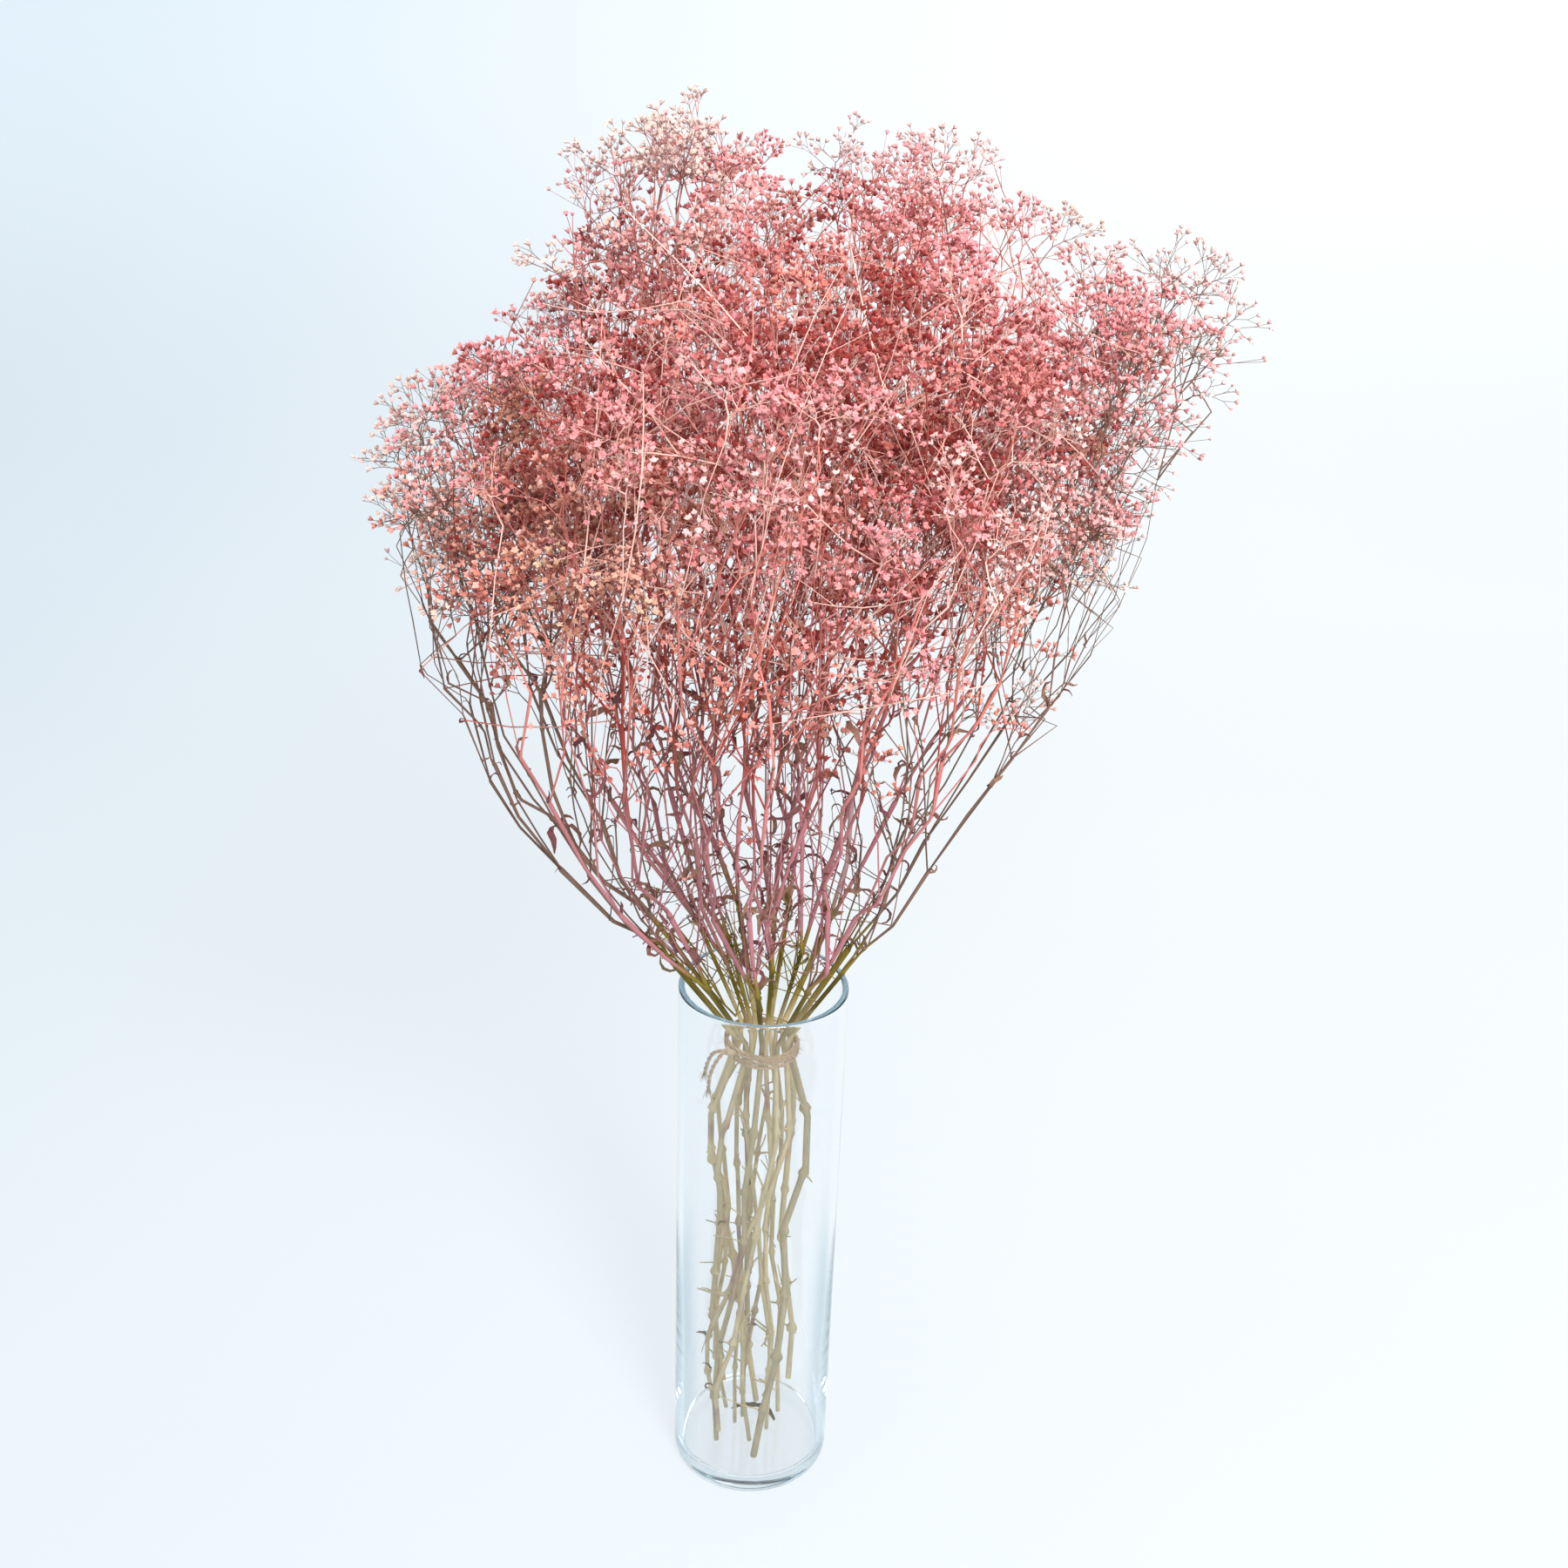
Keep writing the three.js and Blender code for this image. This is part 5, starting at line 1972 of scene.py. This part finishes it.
    def _leaf_pair(self, place: Array, ahead: Array) -> None:
        """Adds up to two small shrivelled leaves at a node.

        Args:
            place: the node.
            ahead: the way the branch runs.
        """
        low = place[2] < self.leafy_below
        chance = (0.8 if low else 0.62) * clamp((self.leafless_above - place[2]) / 60)
        for turn in (0, pi):
            if self.draw.random() > chance:
                continue
            out = around(square_to(ahead), turn + self._some(-1, 1))
            large = self.draw.random() < (0.35 if low else 0.15)
            size = self._some(0.9, 1.5) if large else self._some(0.3, 0.75)
            self.leaves.add(place, unit(out + ahead * self._some(0.1, 1.1)), size, self.draw.random())

    def _shoots(self) -> None:
        """Grows thin side shoots that cross the space between the branches."""
        low, high = self.shoot_band
        joints = [joint for joint in self.joints if low < joint.place[2] < high]
        for joint in self.draw.sample(joints, min(self.shoots, len(joints))):
            self._shoot(joint, self._some(55, 125), 2)
        for _ in range(self.low_shoots):
            self._low_shoot()
        for _ in range(self.tangles):
            self._tangle()

    def _low_shoot(self) -> None:
        """Grows a thin branch from near the rim that runs up the middle of the sheaf."""
        a, b = self.stem_spot
        turn = self._some(-0.9, 0.9)
        share = self._some(0.15, 0.75)
        aim_a, aim_b = (part * share for part in turned(a, b, turn))
        low, high = self._some(*self.low_shoot_feet), self._some(*self.low_shoot_tops)
        steps = max(3, round((high - low) / self.node_step))
        line = Line([self._place(Fork(a, b, low))], [self.low_shoot_radius])
        for k in range(1, steps):
            t = k / steps
            spot = Fork(a + (aim_a - a) * t, b + (aim_b - b) * t, low + (high - low) * t)
            place = self._place(spot) + self._any_way() * 1.6
            before = line.points[-1]
            line.add((before + place) / 2 + self._any_way() * 0.5, self.low_shoot_radius * (1 - 0.4 * t))
            ahead = unit(place - before)
            self._knuckle(line, place, ahead)
            if self.draw.random() < 0.5:
                self._shoot(Joint(place, ahead, 0.4), self._some(25, 60), 0)
        self._sprig(self._place(Fork(aim_a, aim_b, high)), line, self.small_sprigs)

    def _tangle(self) -> None:
        """Grows a fine bare twig, straight or curled, through the stems above the rim."""
        start = self._place(Fork(*self.stem_spot, self._some(*self.tangle_band)))
        inward = -start * np.array([1, 1, 0]) / 30
        aim = UP * self._some(0.4, 1.5) + inward * self._some(0, 1.2) + self._any_way() * 0.8
        side, other = square_to(unit(aim))
        length = self._some(20, 58)
        curl = self.draw.choice(self.tangle_curls)
        turns = self._some(0.4, 1.2)
        line: list[Array] = []
        for t in np.linspace(0, 1, 9):
            angle = 2 * pi * turns * t
            swing = (side * sin(angle) + other * (1 - cos(angle))) * curl * t
            line.append(start + unit(aim) * length * t + swing)
        if any(point[2] < self.rim_top and hypot(point[0], point[1]) > self.rim_reach for point in line):
            return
        self.wires.add(line, np.linspace(0.36, 0.17, 9), self.draw.random(), self.undyed)
        if self.draw.random() < 0.5:
            self._leaf(line[-1], aim, (0.4, 1.1))

    def _tips(self, index: int, joints: list[Joint]) -> None:
        """Carries twigs out to the crown's far corners.

        Args:
            index: the spray's number.
            joints: where they may start.
        """
        for number, *corner in self.tips:
            if number != index:
                continue
            place = np.array(corner)
            near = min(joints, key=lambda joint: dist(joint.place, place - UP * 45))
            middle = (near.place + place) / 2 + np.array([place[0], place[1], 0]) * 0.03
            kit = self.sprigs if place[2] > 640 else self.sparse_sprigs
            kit = self.small_sprigs if place[2] < self.stray_from + 30 else kit
            self._sprig(place, Line([near.place, middle], [0.4, 0.36]), kit)

    def _fillers(self, joints: list[Joint]) -> None:
        """Grows small sprigs on short twigs in the lower crown.

        Args:
            joints: where they may start.
        """
        low, high = self.filler_band
        joints = [joint for joint in joints if low < joint.place[2] < high]
        joints = [joint for joint in joints if self.outline.reach(joint.place) > 0.4]
        for joint in self.draw.sample(joints, min(self.fillers, len(joints))):
            out = unit(np.array([joint.place[0], joint.place[1], 0.0]) + self._any_way() * 40)
            length = self._some(14, 34)
            end = joint.place + (out * 0.7 + joint.ahead) * length
            if self.outline.holds(end, 12):
                middle = joint.place + (out * 0.4 + joint.ahead) * length * 0.45
                self._sprig(end, Line([joint.place, middle], [0.3, 0.26]), self.small_sprigs)

    def _strays(self, joints: list[Joint]) -> None:
        """Grows fine bare twigs that cross the crown every way.

        Args:
            joints: where they may start.
        """
        joints = [joint for joint in joints if joint.place[2] > self.stray_from]
        for joint in self.draw.sample(joints, min(self.strays, len(joints))):
            out = unit(joint.place * np.array([1, 1, 0]) + UP * 40)
            aim = joint.ahead * self._some(-0.1, 0.5) + out * self._some(0, 1)
            aim = unit(aim + self._any_way())
            fitting = (s for s in self.stray_lengths if self.outline.holds(joint.place + aim * s, 14))
            longest = next(fitting, 0)
            if not longest:
                continue
            length = longest * self._some(0.85, 1.0)
            bow = self._any_way() * length * 0.1
            shares = (0, 0.3, 0.55, 0.8, 1)
            line = [joint.place + aim * length * t + bow * sin(pi * t) for t in shares]
            edge = self.outline.edge(line[-1])
            # Painted light on the twig, except on the skyline, where it is mauve painted shade; its florets
            # are paled as painted light near the outside.
            shade = edge if self.outline.on_skyline(line[-1]) else self._some(-2.4, -1.5)
            undyed, faded = self.undyed * 0.5, self.faded + edge * 0.5
            self.wires.add(line, [0.34, 0.33, 0.31, 0.26, 0.18], self.draw.random(), undyed, shade)
            for spot in line[1:4]:
                side = unit(aim + self._any_way() * 0.7)
                tip = spot + side * self._some(6, 18)
                self.wires.add([spot, tip], [0.16, 0.12], self.draw.random(), undyed, shade)
                self.heads.add(tip, side, self._some(0.7, 1.0), self.draw.random(), faded)
            self.heads.add(line[-1], aim, 0.9, self.draw.random(), faded)

    def _shoot(self, joint: Joint, length: float, forks: int) -> None:
        """Grows one side shoot, with forks of its own, up to a small sprig, a leaf or a bare end.

        Args:
            joint: where it starts.
            length: how far it reaches, in millimetres.
            forks: how many times it may fork.
        """
        inward = -unit(np.array([joint.place[0], joint.place[1], 0.0]))
        for _ in range(self.shoot_tries):
            out = self._any_way()
            out = unit(out - joint.ahead * (out @ joint.ahead) + inward * self._some(-0.1, 0.9))
            aim = around((joint.ahead, out), radians(self._some(*self.shoot_spread)))
            rise = UP * self._some(0.05, 0.4)
            bow = self._any_way() * length * 0.05

            def at(t: float) -> Array:
                """Gives the place at a share of the way."""
                return joint.place + (aim * t + rise * t * t) * length + bow * sin(pi * t)

            if self.outline.holds(at(1.0), 16):
                break
            length *= 0.8
        else:
            return
        width = min(joint.width * 0.75, 0.5)
        line = Line([joint.place], [width])
        for node in (0.36, 0.68) if forks == 2 else (0.55,):
            before = line.points[-1]
            place = at(node)
            ahead = unit(place - before)
            line.add((before + place) / 2 + self._any_way() * 0.6, width)
            self._knuckle(line, place, ahead)
            if forks > 0 and self.draw.random() < 0.85:
                self._shoot(Joint(place, ahead, width), length * self._some(0.35, 0.55), forks - 2)
            width *= 0.86
            line.radii[-1] = width
        end = at(1.0)
        if end[2] > self._some(*self.bare_shoot_band):
            self._sprig(end, line, self.small_sprigs)
            return
        line.add(end, width * 0.7)
        self.wires.add(line.points, line.radii, self.draw.random(), self.undyed)
        if self.draw.random() < 0.6:
            self._leaf(end, aim + self._any_way() * 0.5, (0.3, 0.7))


@dataclass(frozen=True)
class LeafShapes:
    """Narrow leaves that have dried up: curled back, twisted and waved, as closed thin blades."""

    seed: int = 95
    variants: int = 7
    length: float = 12
    half_width: float = 0.95
    thickness: float = 0.3
    steps: int = 5

    def leaf(self, name: str, draw: random.Random) -> Object:
        """Builds one leaf that starts at the origin and heads along +Z.

        Args:
            name: the shape's name.
            draw: the numbers that it curls by.

        Returns:
            An object that is in no scene.
        """
        curl = radians(draw.uniform(60, 260)) / self.steps
        twist = radians(draw.uniform(-150, 150)) / self.steps
        fold = draw.uniform(0.4, 0.9)
        heading = np.array([0.0, 0.0, 1.0])
        across = np.array([1.0, 0.0, 0.0])
        place = np.zeros(3)
        points: list[Array] = []
        for k in range(self.steps + 1):
            share = k / self.steps
            width = self.half_width * (0.12 + sin(pi * min(share * 0.92 + 0.08, 1)) ** 0.8)
            wave = 1 + 0.3 * sin(3.1 * k + 10 * fold)
            keel = np.cross(heading, across)
            points.append(place + across * width * wave + keel * width * fold)
            points.append(place - across * width * (2 - wave) + keel * width * fold)
            points.append(place - keel * self.thickness)
            place = place + heading * self.length / self.steps
            turn = Matrix.Rotation(curl, 3, Vector(across)) @ Matrix.Rotation(twist, 3, Vector(heading))
            heading = np.array(turn @ Vector(heading))
            across = unit(np.array(turn @ Vector(across)))
        last = 3 * self.steps
        faces = tube_faces(3, self.steps) + [(2, 1, 0), (last, last + 1, last + 2)]
        return bpy.data.objects.new(name, point_mesh(name, points, faces=faces))

    def collection(self) -> Collection:
        """Builds all leaves.

        Returns:
            A collection that is in no scene.
        """
        draw = random.Random(self.seed)
        kit = bpy.data.collections.new("leaf_shapes")
        for k in range(self.variants):
            kit.objects.link(self.leaf(f"leaf_{k}", draw))
        return kit


# Vase, twine and fallen leaf


@dataclass(frozen=True)
class GlassVase:
    """The cylinder vase: walls, thick floor, rounded heel and fire-polished rim, in millimetres."""

    wall: float = 3.0
    thicker: float = 1.3
    thick_below: float = 150
    floor: float = 8.0
    heel_radius: float = 5.0
    inner_heel_radius: float = 4.0
    margin: float = 0.6
    segments: int = 144
    arc_steps: int = 10

    def build(self, paint: Paint) -> Object:
        """Turns the profile round the axis.

        Args:
            paint: gives the glass.

        Returns:
            The vase.
        """
        low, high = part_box("vase")
        profile = self._profile((high.x - low.x) / 2 / MM, high.z / MM)
        n = self.segments
        points = [(*on_circle(r, 2 * pi * k / n), z) for r, z in profile for k in range(n)]
        under, inside = len(points), len(points) + 1
        points += [(0.0, 0.0, 0.0), (0.0, 0.0, self.floor)]
        faces: list[tuple[int, ...]] = []
        last = (len(profile) - 1) * n
        for k in range(n):
            m = (k + 1) % n
            faces.append((under, m, k))
            faces += [(row + k, row + m, row + n + m, row + n + k) for row in range(0, last, n)]
            faces.append((last + k, last + m, inside))
        return show(point_mesh("vase_glass", points, faces=faces), paint(Finish.GLASS))

    def _profile(self, radius: float, height: float) -> list[tuple[float, float]]:
        """Draws the outline from the underside round to the inside of the floor.

        Args:
            radius: the vase's outer radius.
            height: its height.

        Returns:
            Distances from the axis, each with its height.
        """
        outline: list[tuple[float, float]] = []

        def arc(r: float, z: float, size: float, start: float, end: float) -> None:
            """Adds a round stretch to the outline.

            Args:
                r: its middle's distance from the axis.
                z: its middle's height.
                size: its radius.
                start: the angle that it starts at, in degrees.
                end: the angle that it ends at.
            """
            for k in range(self.arc_steps + 1):
                across, up = on_circle(size, radians(start + (end - start) * k / self.arc_steps))
                outline.append((r + across, z + up))

        inner = radius - self.wall
        heel, inner_heel = self.heel_radius, self.inner_heel_radius
        rim = height - self.wall / 2
        outline.append((radius - heel - self.margin, 0.0))
        arc(radius - heel, heel, heel, -90, 0)
        outline += [(radius, heel + self.margin), (radius, rim - self.margin)]
        arc(radius - self.wall / 2, rim, self.wall / 2, 0, 180)
        outline.append((inner, rim - self.margin))
        low = self.floor + inner_heel + self.margin
        for k in range(2 * self.arc_steps + 1):
            t = k / (2 * self.arc_steps)
            level = self.thick_below + (low - self.thick_below) * t
            outline.append((inner - self.thicker * t * t * (3 - 2 * t), level))
        inner -= self.thicker
        arc(inner - inner_heel, self.floor + inner_heel, inner_heel, 0, -90)
        outline.append((inner - inner_heel - self.margin, self.floor))
        return outline


@dataclass(frozen=True)
class JuteTwine:
    """Twine of two strands, wound round the sheaf and tied, with frayed ends, in millimetres."""

    height: float = 249
    path_radius: float = 17.2
    turns: float = 3.4
    slope: float = 0.07
    slump: float = 1.2
    pitch: float = 2.2
    strand_radius: float = 0.52
    strand_offset: float = 0.47
    twist_pitch: float = 5.5
    steps_per_turn: int = 90
    knot_angle: float = 218
    fibres: int = 150
    end_fibres: int = 26
    knot_steps: int = 48
    knot_size: float = 1.15
    smoothing: int = 12
    seed: int = 31
    ends: tuple[tuple[tuple[float, float, float], ...], ...] = (
        ((0, 0, 0), (5.5, 0.5, 0.5), (9.8, 0.5, -4), (11.6, 0.0, -10), (12.4, 0.4, -15)),
        ((0, 0, 0), (4.6, -1.0, 1.5), (8.2, -3.0, 0), (10.2, -4.2, -5), (10.9, -4.6, -9)),
    )

    def build(self, paint: Paint, tubes: TubeTree) -> Object:
        """Winds, ties and frays the twine.

        Args:
            paint: gives the jute.
            tubes: makes the tubes.

        Returns:
            The twine.
        """
        draw = random.Random(self.seed)
        wires = Wires()
        start = radians(self.knot_angle)
        count = round(self.turns * self.steps_per_turn)
        ring: list[Array] = []
        for k in range(count + 1):
            angle = start + 2 * pi * k / self.steps_per_turn
            lift = (k / count - 0.5) * self.pitch * (self.turns - 0.4) + 0.35 * sin(2.3 * angle)
            radius = self.path_radius + 0.25 * sin(3 * angle)
            tilt = -self.slope * radius * cos(angle) - self.slump
            ring.append(np.array([*on_circle(radius, angle), self.height + lift + tilt]))
        self._lay(wires, ring, draw)
        out = np.array([cos(start), sin(start), 0.0])
        side = np.array([-sin(start), cos(start), 0.0])
        base = out * (self.path_radius + 0.8) + UP * self.height
        self._lay(wires, [base + out * x + side * y + UP * z for x, y, z in self._knot()], draw)
        for shape in self.ends:
            path = smooth_line([base + out * x + side * y + UP * z for x, y, z in shape], self.smoothing)
            self._lay(wires, path, draw)
            self._fray(wires, path[-1], unit(path[-1] - path[-3]), draw)
        self._fuzz(wires, ring, draw)
        mesh = wires.mesh("twine_lines", thick_from=0.3)
        values = {"Thick Sides": 7, "Thin Sides": 3, "Material": paint(Finish.JUTE)}
        return tubes.apply("twine_jute", mesh, values)

    def _lay(self, wires: Wires, path: Sequence[Array], draw: random.Random) -> None:
        """Lays two strands round a path.

        Args:
            wires: takes the strands.
            path: the path.
            draw: gives each strand its tone.
        """
        gone = 0.0
        strands: list[list[Array]] = [[], []]
        for k, point in enumerate(path):
            ahead = unit(path[min(k + 1, len(path) - 1)] - path[max(k - 1, 0)])
            gone += float(np.linalg.norm(point - path[max(k - 1, 0)]))
            arm = around(square_to(ahead), 2 * pi * gone / self.twist_pitch)
            strands[0].append(point + arm * self.strand_offset)
            strands[1].append(point - arm * self.strand_offset)
        for strand in strands:
            wires.add(strand, [self.strand_radius] * len(strand), draw.random())

    def _knot(self) -> list[tuple[float, float, float]]:
        """Ties an overhand knot.

        Returns:
            Its path: ways outwards, to the side and up from its middle.
        """
        loop: list[tuple[float, float, float]] = []
        for k in range(self.knot_steps + 1):
            t = 2 * pi * k / self.knot_steps
            y = (sin(t) + 1.3 * sin(2 * t)) * self.knot_size
            z = (cos(t) - 1.3 * cos(2 * t)) * self.knot_size
            loop.append((0.9 + 0.9 * cos(3 * t), y, z))
        return loop

    def _fray(self, wires: Wires, end: Array, ahead: Array, draw: random.Random) -> None:
        """Spreads loose fibres from an end.

        Args:
            wires: takes the fibres.
            end: the end.
            ahead: the way the twine runs there.
            draw: the numbers that they are spread by.
        """
        for _ in range(self.end_fibres):
            away = any_way(draw)
            aim = unit(ahead + away * draw.uniform(0.15, 0.55))
            length = draw.uniform(2.5, 6.5)
            middle = end + aim * length * 0.5 + away * 0.25
            wires.add([end - ahead, middle, end + aim * length - UP * 0.4], [0.16, 0.12, 0.06], draw.random())

    def _fuzz(self, wires: Wires, ring: Sequence[Array], draw: random.Random) -> None:
        """Lets short fibres stand off the turns.

        Args:
            wires: takes the fibres.
            ring: the path of the turns.
            draw: the numbers that they are spread by.
        """
        for _ in range(self.fibres):
            k = draw.randrange(len(ring) - 1)
            ahead = unit(ring[k + 1] - ring[k])
            out = unit(np.array([ring[k][0], ring[k][1], 0.0]))
            off = unit(out + np.array([0, 0, draw.uniform(-1, 1)]))
            start = ring[k] + off * 0.9
            aim = unit(ahead * draw.uniform(-1, 1) + off * draw.uniform(0.2, 0.9))
            length = draw.uniform(1.2, 3.6)
            middle = start + aim * length * 0.6
            wires.add([start, middle, start + aim * length + off * 0.3], [0.06, 0.05, 0.035], draw.random())


def smooth_line(corners: Sequence[Array], steps: int) -> list[Array]:
    """Runs a smooth line through corners.

    Args:
        corners: the points that it passes.
        steps: how many points there are from one corner to the next.

    Returns:
        The points of the line.
    """
    found: list[Array] = []
    for k in range(len(corners) - 1):
        a, b = corners[max(k - 1, 0)], corners[k]
        c, d = corners[k + 1], corners[min(k + 2, len(corners) - 1)]
        for i in range(steps):
            t = i / steps
            curve = 2 * b + (c - a) * t + (2 * a - 5 * b + 4 * c - d) * t**2 + (3 * b - a - 3 * c + d) * t**3
            found.append(curve / 2)
    return [*found, corners[-1]]


@dataclass(frozen=True)
class FallenLeaf:
    """The curled dry leaf on the vase's floor, in millimetres."""

    radius: float = 14
    start: float = 20
    sweep: float = 118
    half_widths: tuple[float, ...] = (0.5, 1.5, 2.1, 1.6, 1.9, 1.2, 0.4)
    lifts: tuple[float, ...] = (0, 0.2, 1.1, 0.4, 0, 1.3, 2.6)
    floor: float = 8.3
    thickness: float = 0.55
    steps: int = 42

    def build(self, paint: Paint) -> Object:
        """Builds the leaf as a closed, waved blade.

        Args:
            paint: gives the leaf's finish.

        Returns:
            The leaf.
        """
        places = np.linspace(0, len(self.half_widths) - 1, self.steps + 1)
        widths = np.interp(places, range(len(self.half_widths)), self.half_widths)
        lifts = np.interp(places, range(len(self.lifts)), self.lifts)
        points: list[Array] = []
        for k in range(self.steps + 1):
            angle = radians(self.start + self.sweep * k / self.steps)
            out = np.array([cos(angle), sin(angle), 0.0])
            wave = 0.35 * sin(0.9 * k) + 0.35
            middle = out * self.radius + UP * (self.floor + lifts[k] + 0.2)
            outer = middle + out * widths[k] + UP * (wave + 0.5 * widths[k])
            inner = middle - out * widths[k] + UP * (0.9 * widths[k] - wave * 0.5)
            points += [outer, middle + UP * self.thickness, inner, middle - UP * 0.15]
        last = 4 * self.steps
        faces = tube_faces(4, self.steps) + [(3, 2, 1, 0), (last, last + 1, last + 2, last + 3)]
        mesh = point_mesh("fallen_leaf_dry", points, faces=faces)
        write_columns(mesh, {"tone": np.full(len(points), 0.6)})
        return show(mesh, paint(Finish.LEAF))


# Stage


@dataclass(frozen=True)
class Studio:
    """Pale paper sweep, soft light and the camera, in metres and degrees."""

    half_width: float = 1.7
    front: float = -2.2
    back: float = 1.5
    bend: float = 1.1
    wall_top: float = 3.2
    floor_drop: float = 0.0002
    sky: str = "F6FAFD"
    surround: str = "9AB1BF"
    world_strength: float = 0.72
    bounces: int = 80
    lens: float = 39.42
    pitch: float = 23.67
    roll: float = 2.01
    camera: tuple[float, float, float] = (0.0062, -0.7007, 0.6889)
    sensor: float = 36
    near_clip: float = 0.01
    lit_height: float = 0.4
    bend_steps: int = 24

    def build(self, paint: Paint) -> None:
        """Sets up the paper, the world, the lights and the camera, with the bounces that glass needs.

        Args:
            paint: gives the paper's finish.
        """
        self._paper(paint)
        self._world()
        self._light("key", (0.5, -1.2, 1.5), 0.5, 33.0)
        self._light("fill", (-1.3, -0.9, 1.2), 1.4, 3.0)
        self._camera()
        scene = bpy.context.scene
        scene.view_settings.view_transform = "Standard"
        scene.view_settings.look = "None"
        scene.cycles.max_bounces = self.bounces
        scene.cycles.glossy_bounces = self.bounces
        scene.cycles.transmission_bounces = self.bounces

    def _paper(self, paint: Paint) -> None:
        """Lays white paper that bends up behind the vase.

        Args:
            paint: gives its finish.
        """
        line = [(self.front, 0.0)]
        for k in range(self.bend_steps + 1):
            angle = radians(90 * k / self.bend_steps)
            line.append((self.back + self.bend * sin(angle), self.bend * (1 - cos(angle))))
        line.append((self.back + self.bend, self.wall_top))
        points = [(side * self.half_width, y, z - self.floor_drop) for y, z in line for side in (-1, 1)]
        faces = [(2 * k, 2 * k + 1, 2 * k + 3, 2 * k + 2) for k in range(len(line) - 1)]
        mesh = bpy.data.meshes.new("paper")
        mesh.from_pydata(points, [], faces)
        obj = show(mesh, paint(Finish.FLOOR))

    def _world(self) -> None:
        """Fills the room with soft light, darker towards the ground."""
        world = bpy.data.worlds.new("pale_room")
        world.use_nodes = True
        graph = Graph(world.node_tree)
        graph.tree.nodes.clear()
        way = graph.node("ShaderNodeTexCoord").outputs["Generated"]
        height = Value(graph, graph.node("ShaderNodeSeparateXYZ", {}, {0: way}).outputs["Z"])
        colour = graph.mix(height.band(-0.1, 0.25), self.surround, self.sky)
        glow = graph.node("ShaderNodeBackground", {}, {"Color": colour, "Strength": self.world_strength})
        graph.node("ShaderNodeOutputWorld", {}, {"Surface": glow.outputs[0]})
        bpy.context.scene.world = world

    def _light(self, name: str, place: tuple[float, float, float], size: float, power: float) -> None:
        """Hangs a soft square light that faces the crown.

        Args:
            name: its name.
            place: where it hangs.
            size: its side.
            power: its power in watts.
        """
        data = bpy.data.lights.new(name, "AREA")
        data.size = size
        data.energy = power
        obj = bpy.data.objects.new(name, data)
        obj.location = place
        aim = Vector((0, 0, self.lit_height)) - Vector(place)
        obj.rotation_euler = aim.to_track_quat("-Z", "Y").to_euler()
        bpy.context.scene.collection.objects.link(obj)

    def _camera(self) -> None:
        """Sets the camera where the photograph was taken from."""
        pitch, roll = radians(self.pitch), radians(self.roll)
        ahead = Vector((0, cos(pitch), -sin(pitch)))
        right = Vector((1, 0, 0))
        up = right.cross(ahead)
        turned_right = cos(roll) * right + sin(roll) * up
        turned_up = -sin(roll) * right + cos(roll) * up
        data = bpy.data.cameras.new("camera")
        data.lens = self.lens
        data.sensor_width = self.sensor
        data.clip_start = self.near_clip
        obj = bpy.data.objects.new("camera", data)
        turn = Matrix((turned_right, turned_up, -ahead)).transposed()
        obj.matrix_world = Matrix.Translation(self.camera) @ turn.to_4x4()
        bpy.context.scene.collection.objects.link(obj)
        bpy.context.scene.camera = obj


# The arrangement


def settle(obj: Object, slot: str, *nodes: str) -> None:
    """Fixes a piece to the vase's body and says what it stands for.

    Args:
        obj: the piece.
        slot: its material slot; not used.
        nodes: the solids' nodes that it replaces.
    """
    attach(obj, BODY)
    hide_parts(*nodes)
    triangles = sum(len(p.vertices) - 2 for p in obj.data.polygons)
    LOG.info("%s stands for %s with %d triangles", obj.name, ", ".join(nodes), triangles)


@dataclass
class Bouquet:
    """All sprays, each as its branches, its florets and its leaves."""

    paint: Paint
    tubes: TubeTree
    scatter: ScatterTree
    thick_from: float = 0.9
    floret_size: float = 1.0

    def build(self) -> None:
        """Grows and dresses every spray."""
        crown = Crown(Sheaf())
        florets = crown.scatter()
        sprigs = SprigGrower(seed=811, variants=18, heads=8, florets=49, reach=24).kit()
        sparse = SprigGrower(seed=813, variants=14, heads=9, florets=27, reach=28, head_radius=3.2).kit()
        small = SprigGrower(seed=812, variants=12, heads=3, florets=12, reach=14).kit()
        dresser = SprayDresser(crown, StemPlan(), CrownOutline(crown.sheaf), sprigs, sparse, small)
        floret_kit = FloretShapes().collection()
        leaf_kit = LeafShapes().collection()
        for index, own in enumerate(florets):
            node = f"spray_{index + 1:02d}"
            wires, heads, leaves = dresser.dress(index, own)
            stem_values = {"Thick Sides": 8, "Thin Sides": 3, "Material": self.paint(Finish.BARK)}
            lines = wires.mesh("lines", self.thick_from)
            settle(self.tubes.apply(f"{node}_branches", lines, stem_values), "dried_spray", node)
            kits = ((heads, floret_kit, "florets", Finish.PETALS), (leaves, leaf_kit, "leaves", Finish.LEAF))
            for marks, kit, label, finish in kits:
                values = {
                    "Shapes": kit,
                    "Shape Count": len(kit.objects),
                    "Size": self.floret_size,
                    "Seed": index,
                    "Material": self.paint(finish),
                }
                piece = self.scatter.apply(f"{node}_{label}", marks.mesh("points"), values)
                settle(piece, "dried_spray", node)
        for kit in (floret_kit, leaf_kit):
            for shape in list(kit.objects):
                bpy.data.objects.remove(shape)
            bpy.data.collections.remove(kit)


def main() -> None:
    """Builds the arrangement and its stage, in order."""
    logging.basicConfig(level=logging.INFO, format="%(message)s", stream=sys.stdout)
    paint = Paint()
    tubes = TubeTree()
    Studio().build(paint)
    settle(GlassVase().build(paint), "clear_glass", "vase")
    settle(JuteTwine().build(paint, tubes), "jute_twine", "twine")
    settle(FallenLeaf().build(paint), "dried_leaf", "fallen_leaf")
    Bouquet(paint, tubes, ScatterTree()).build()


if __name__ == "__main__":
    main()
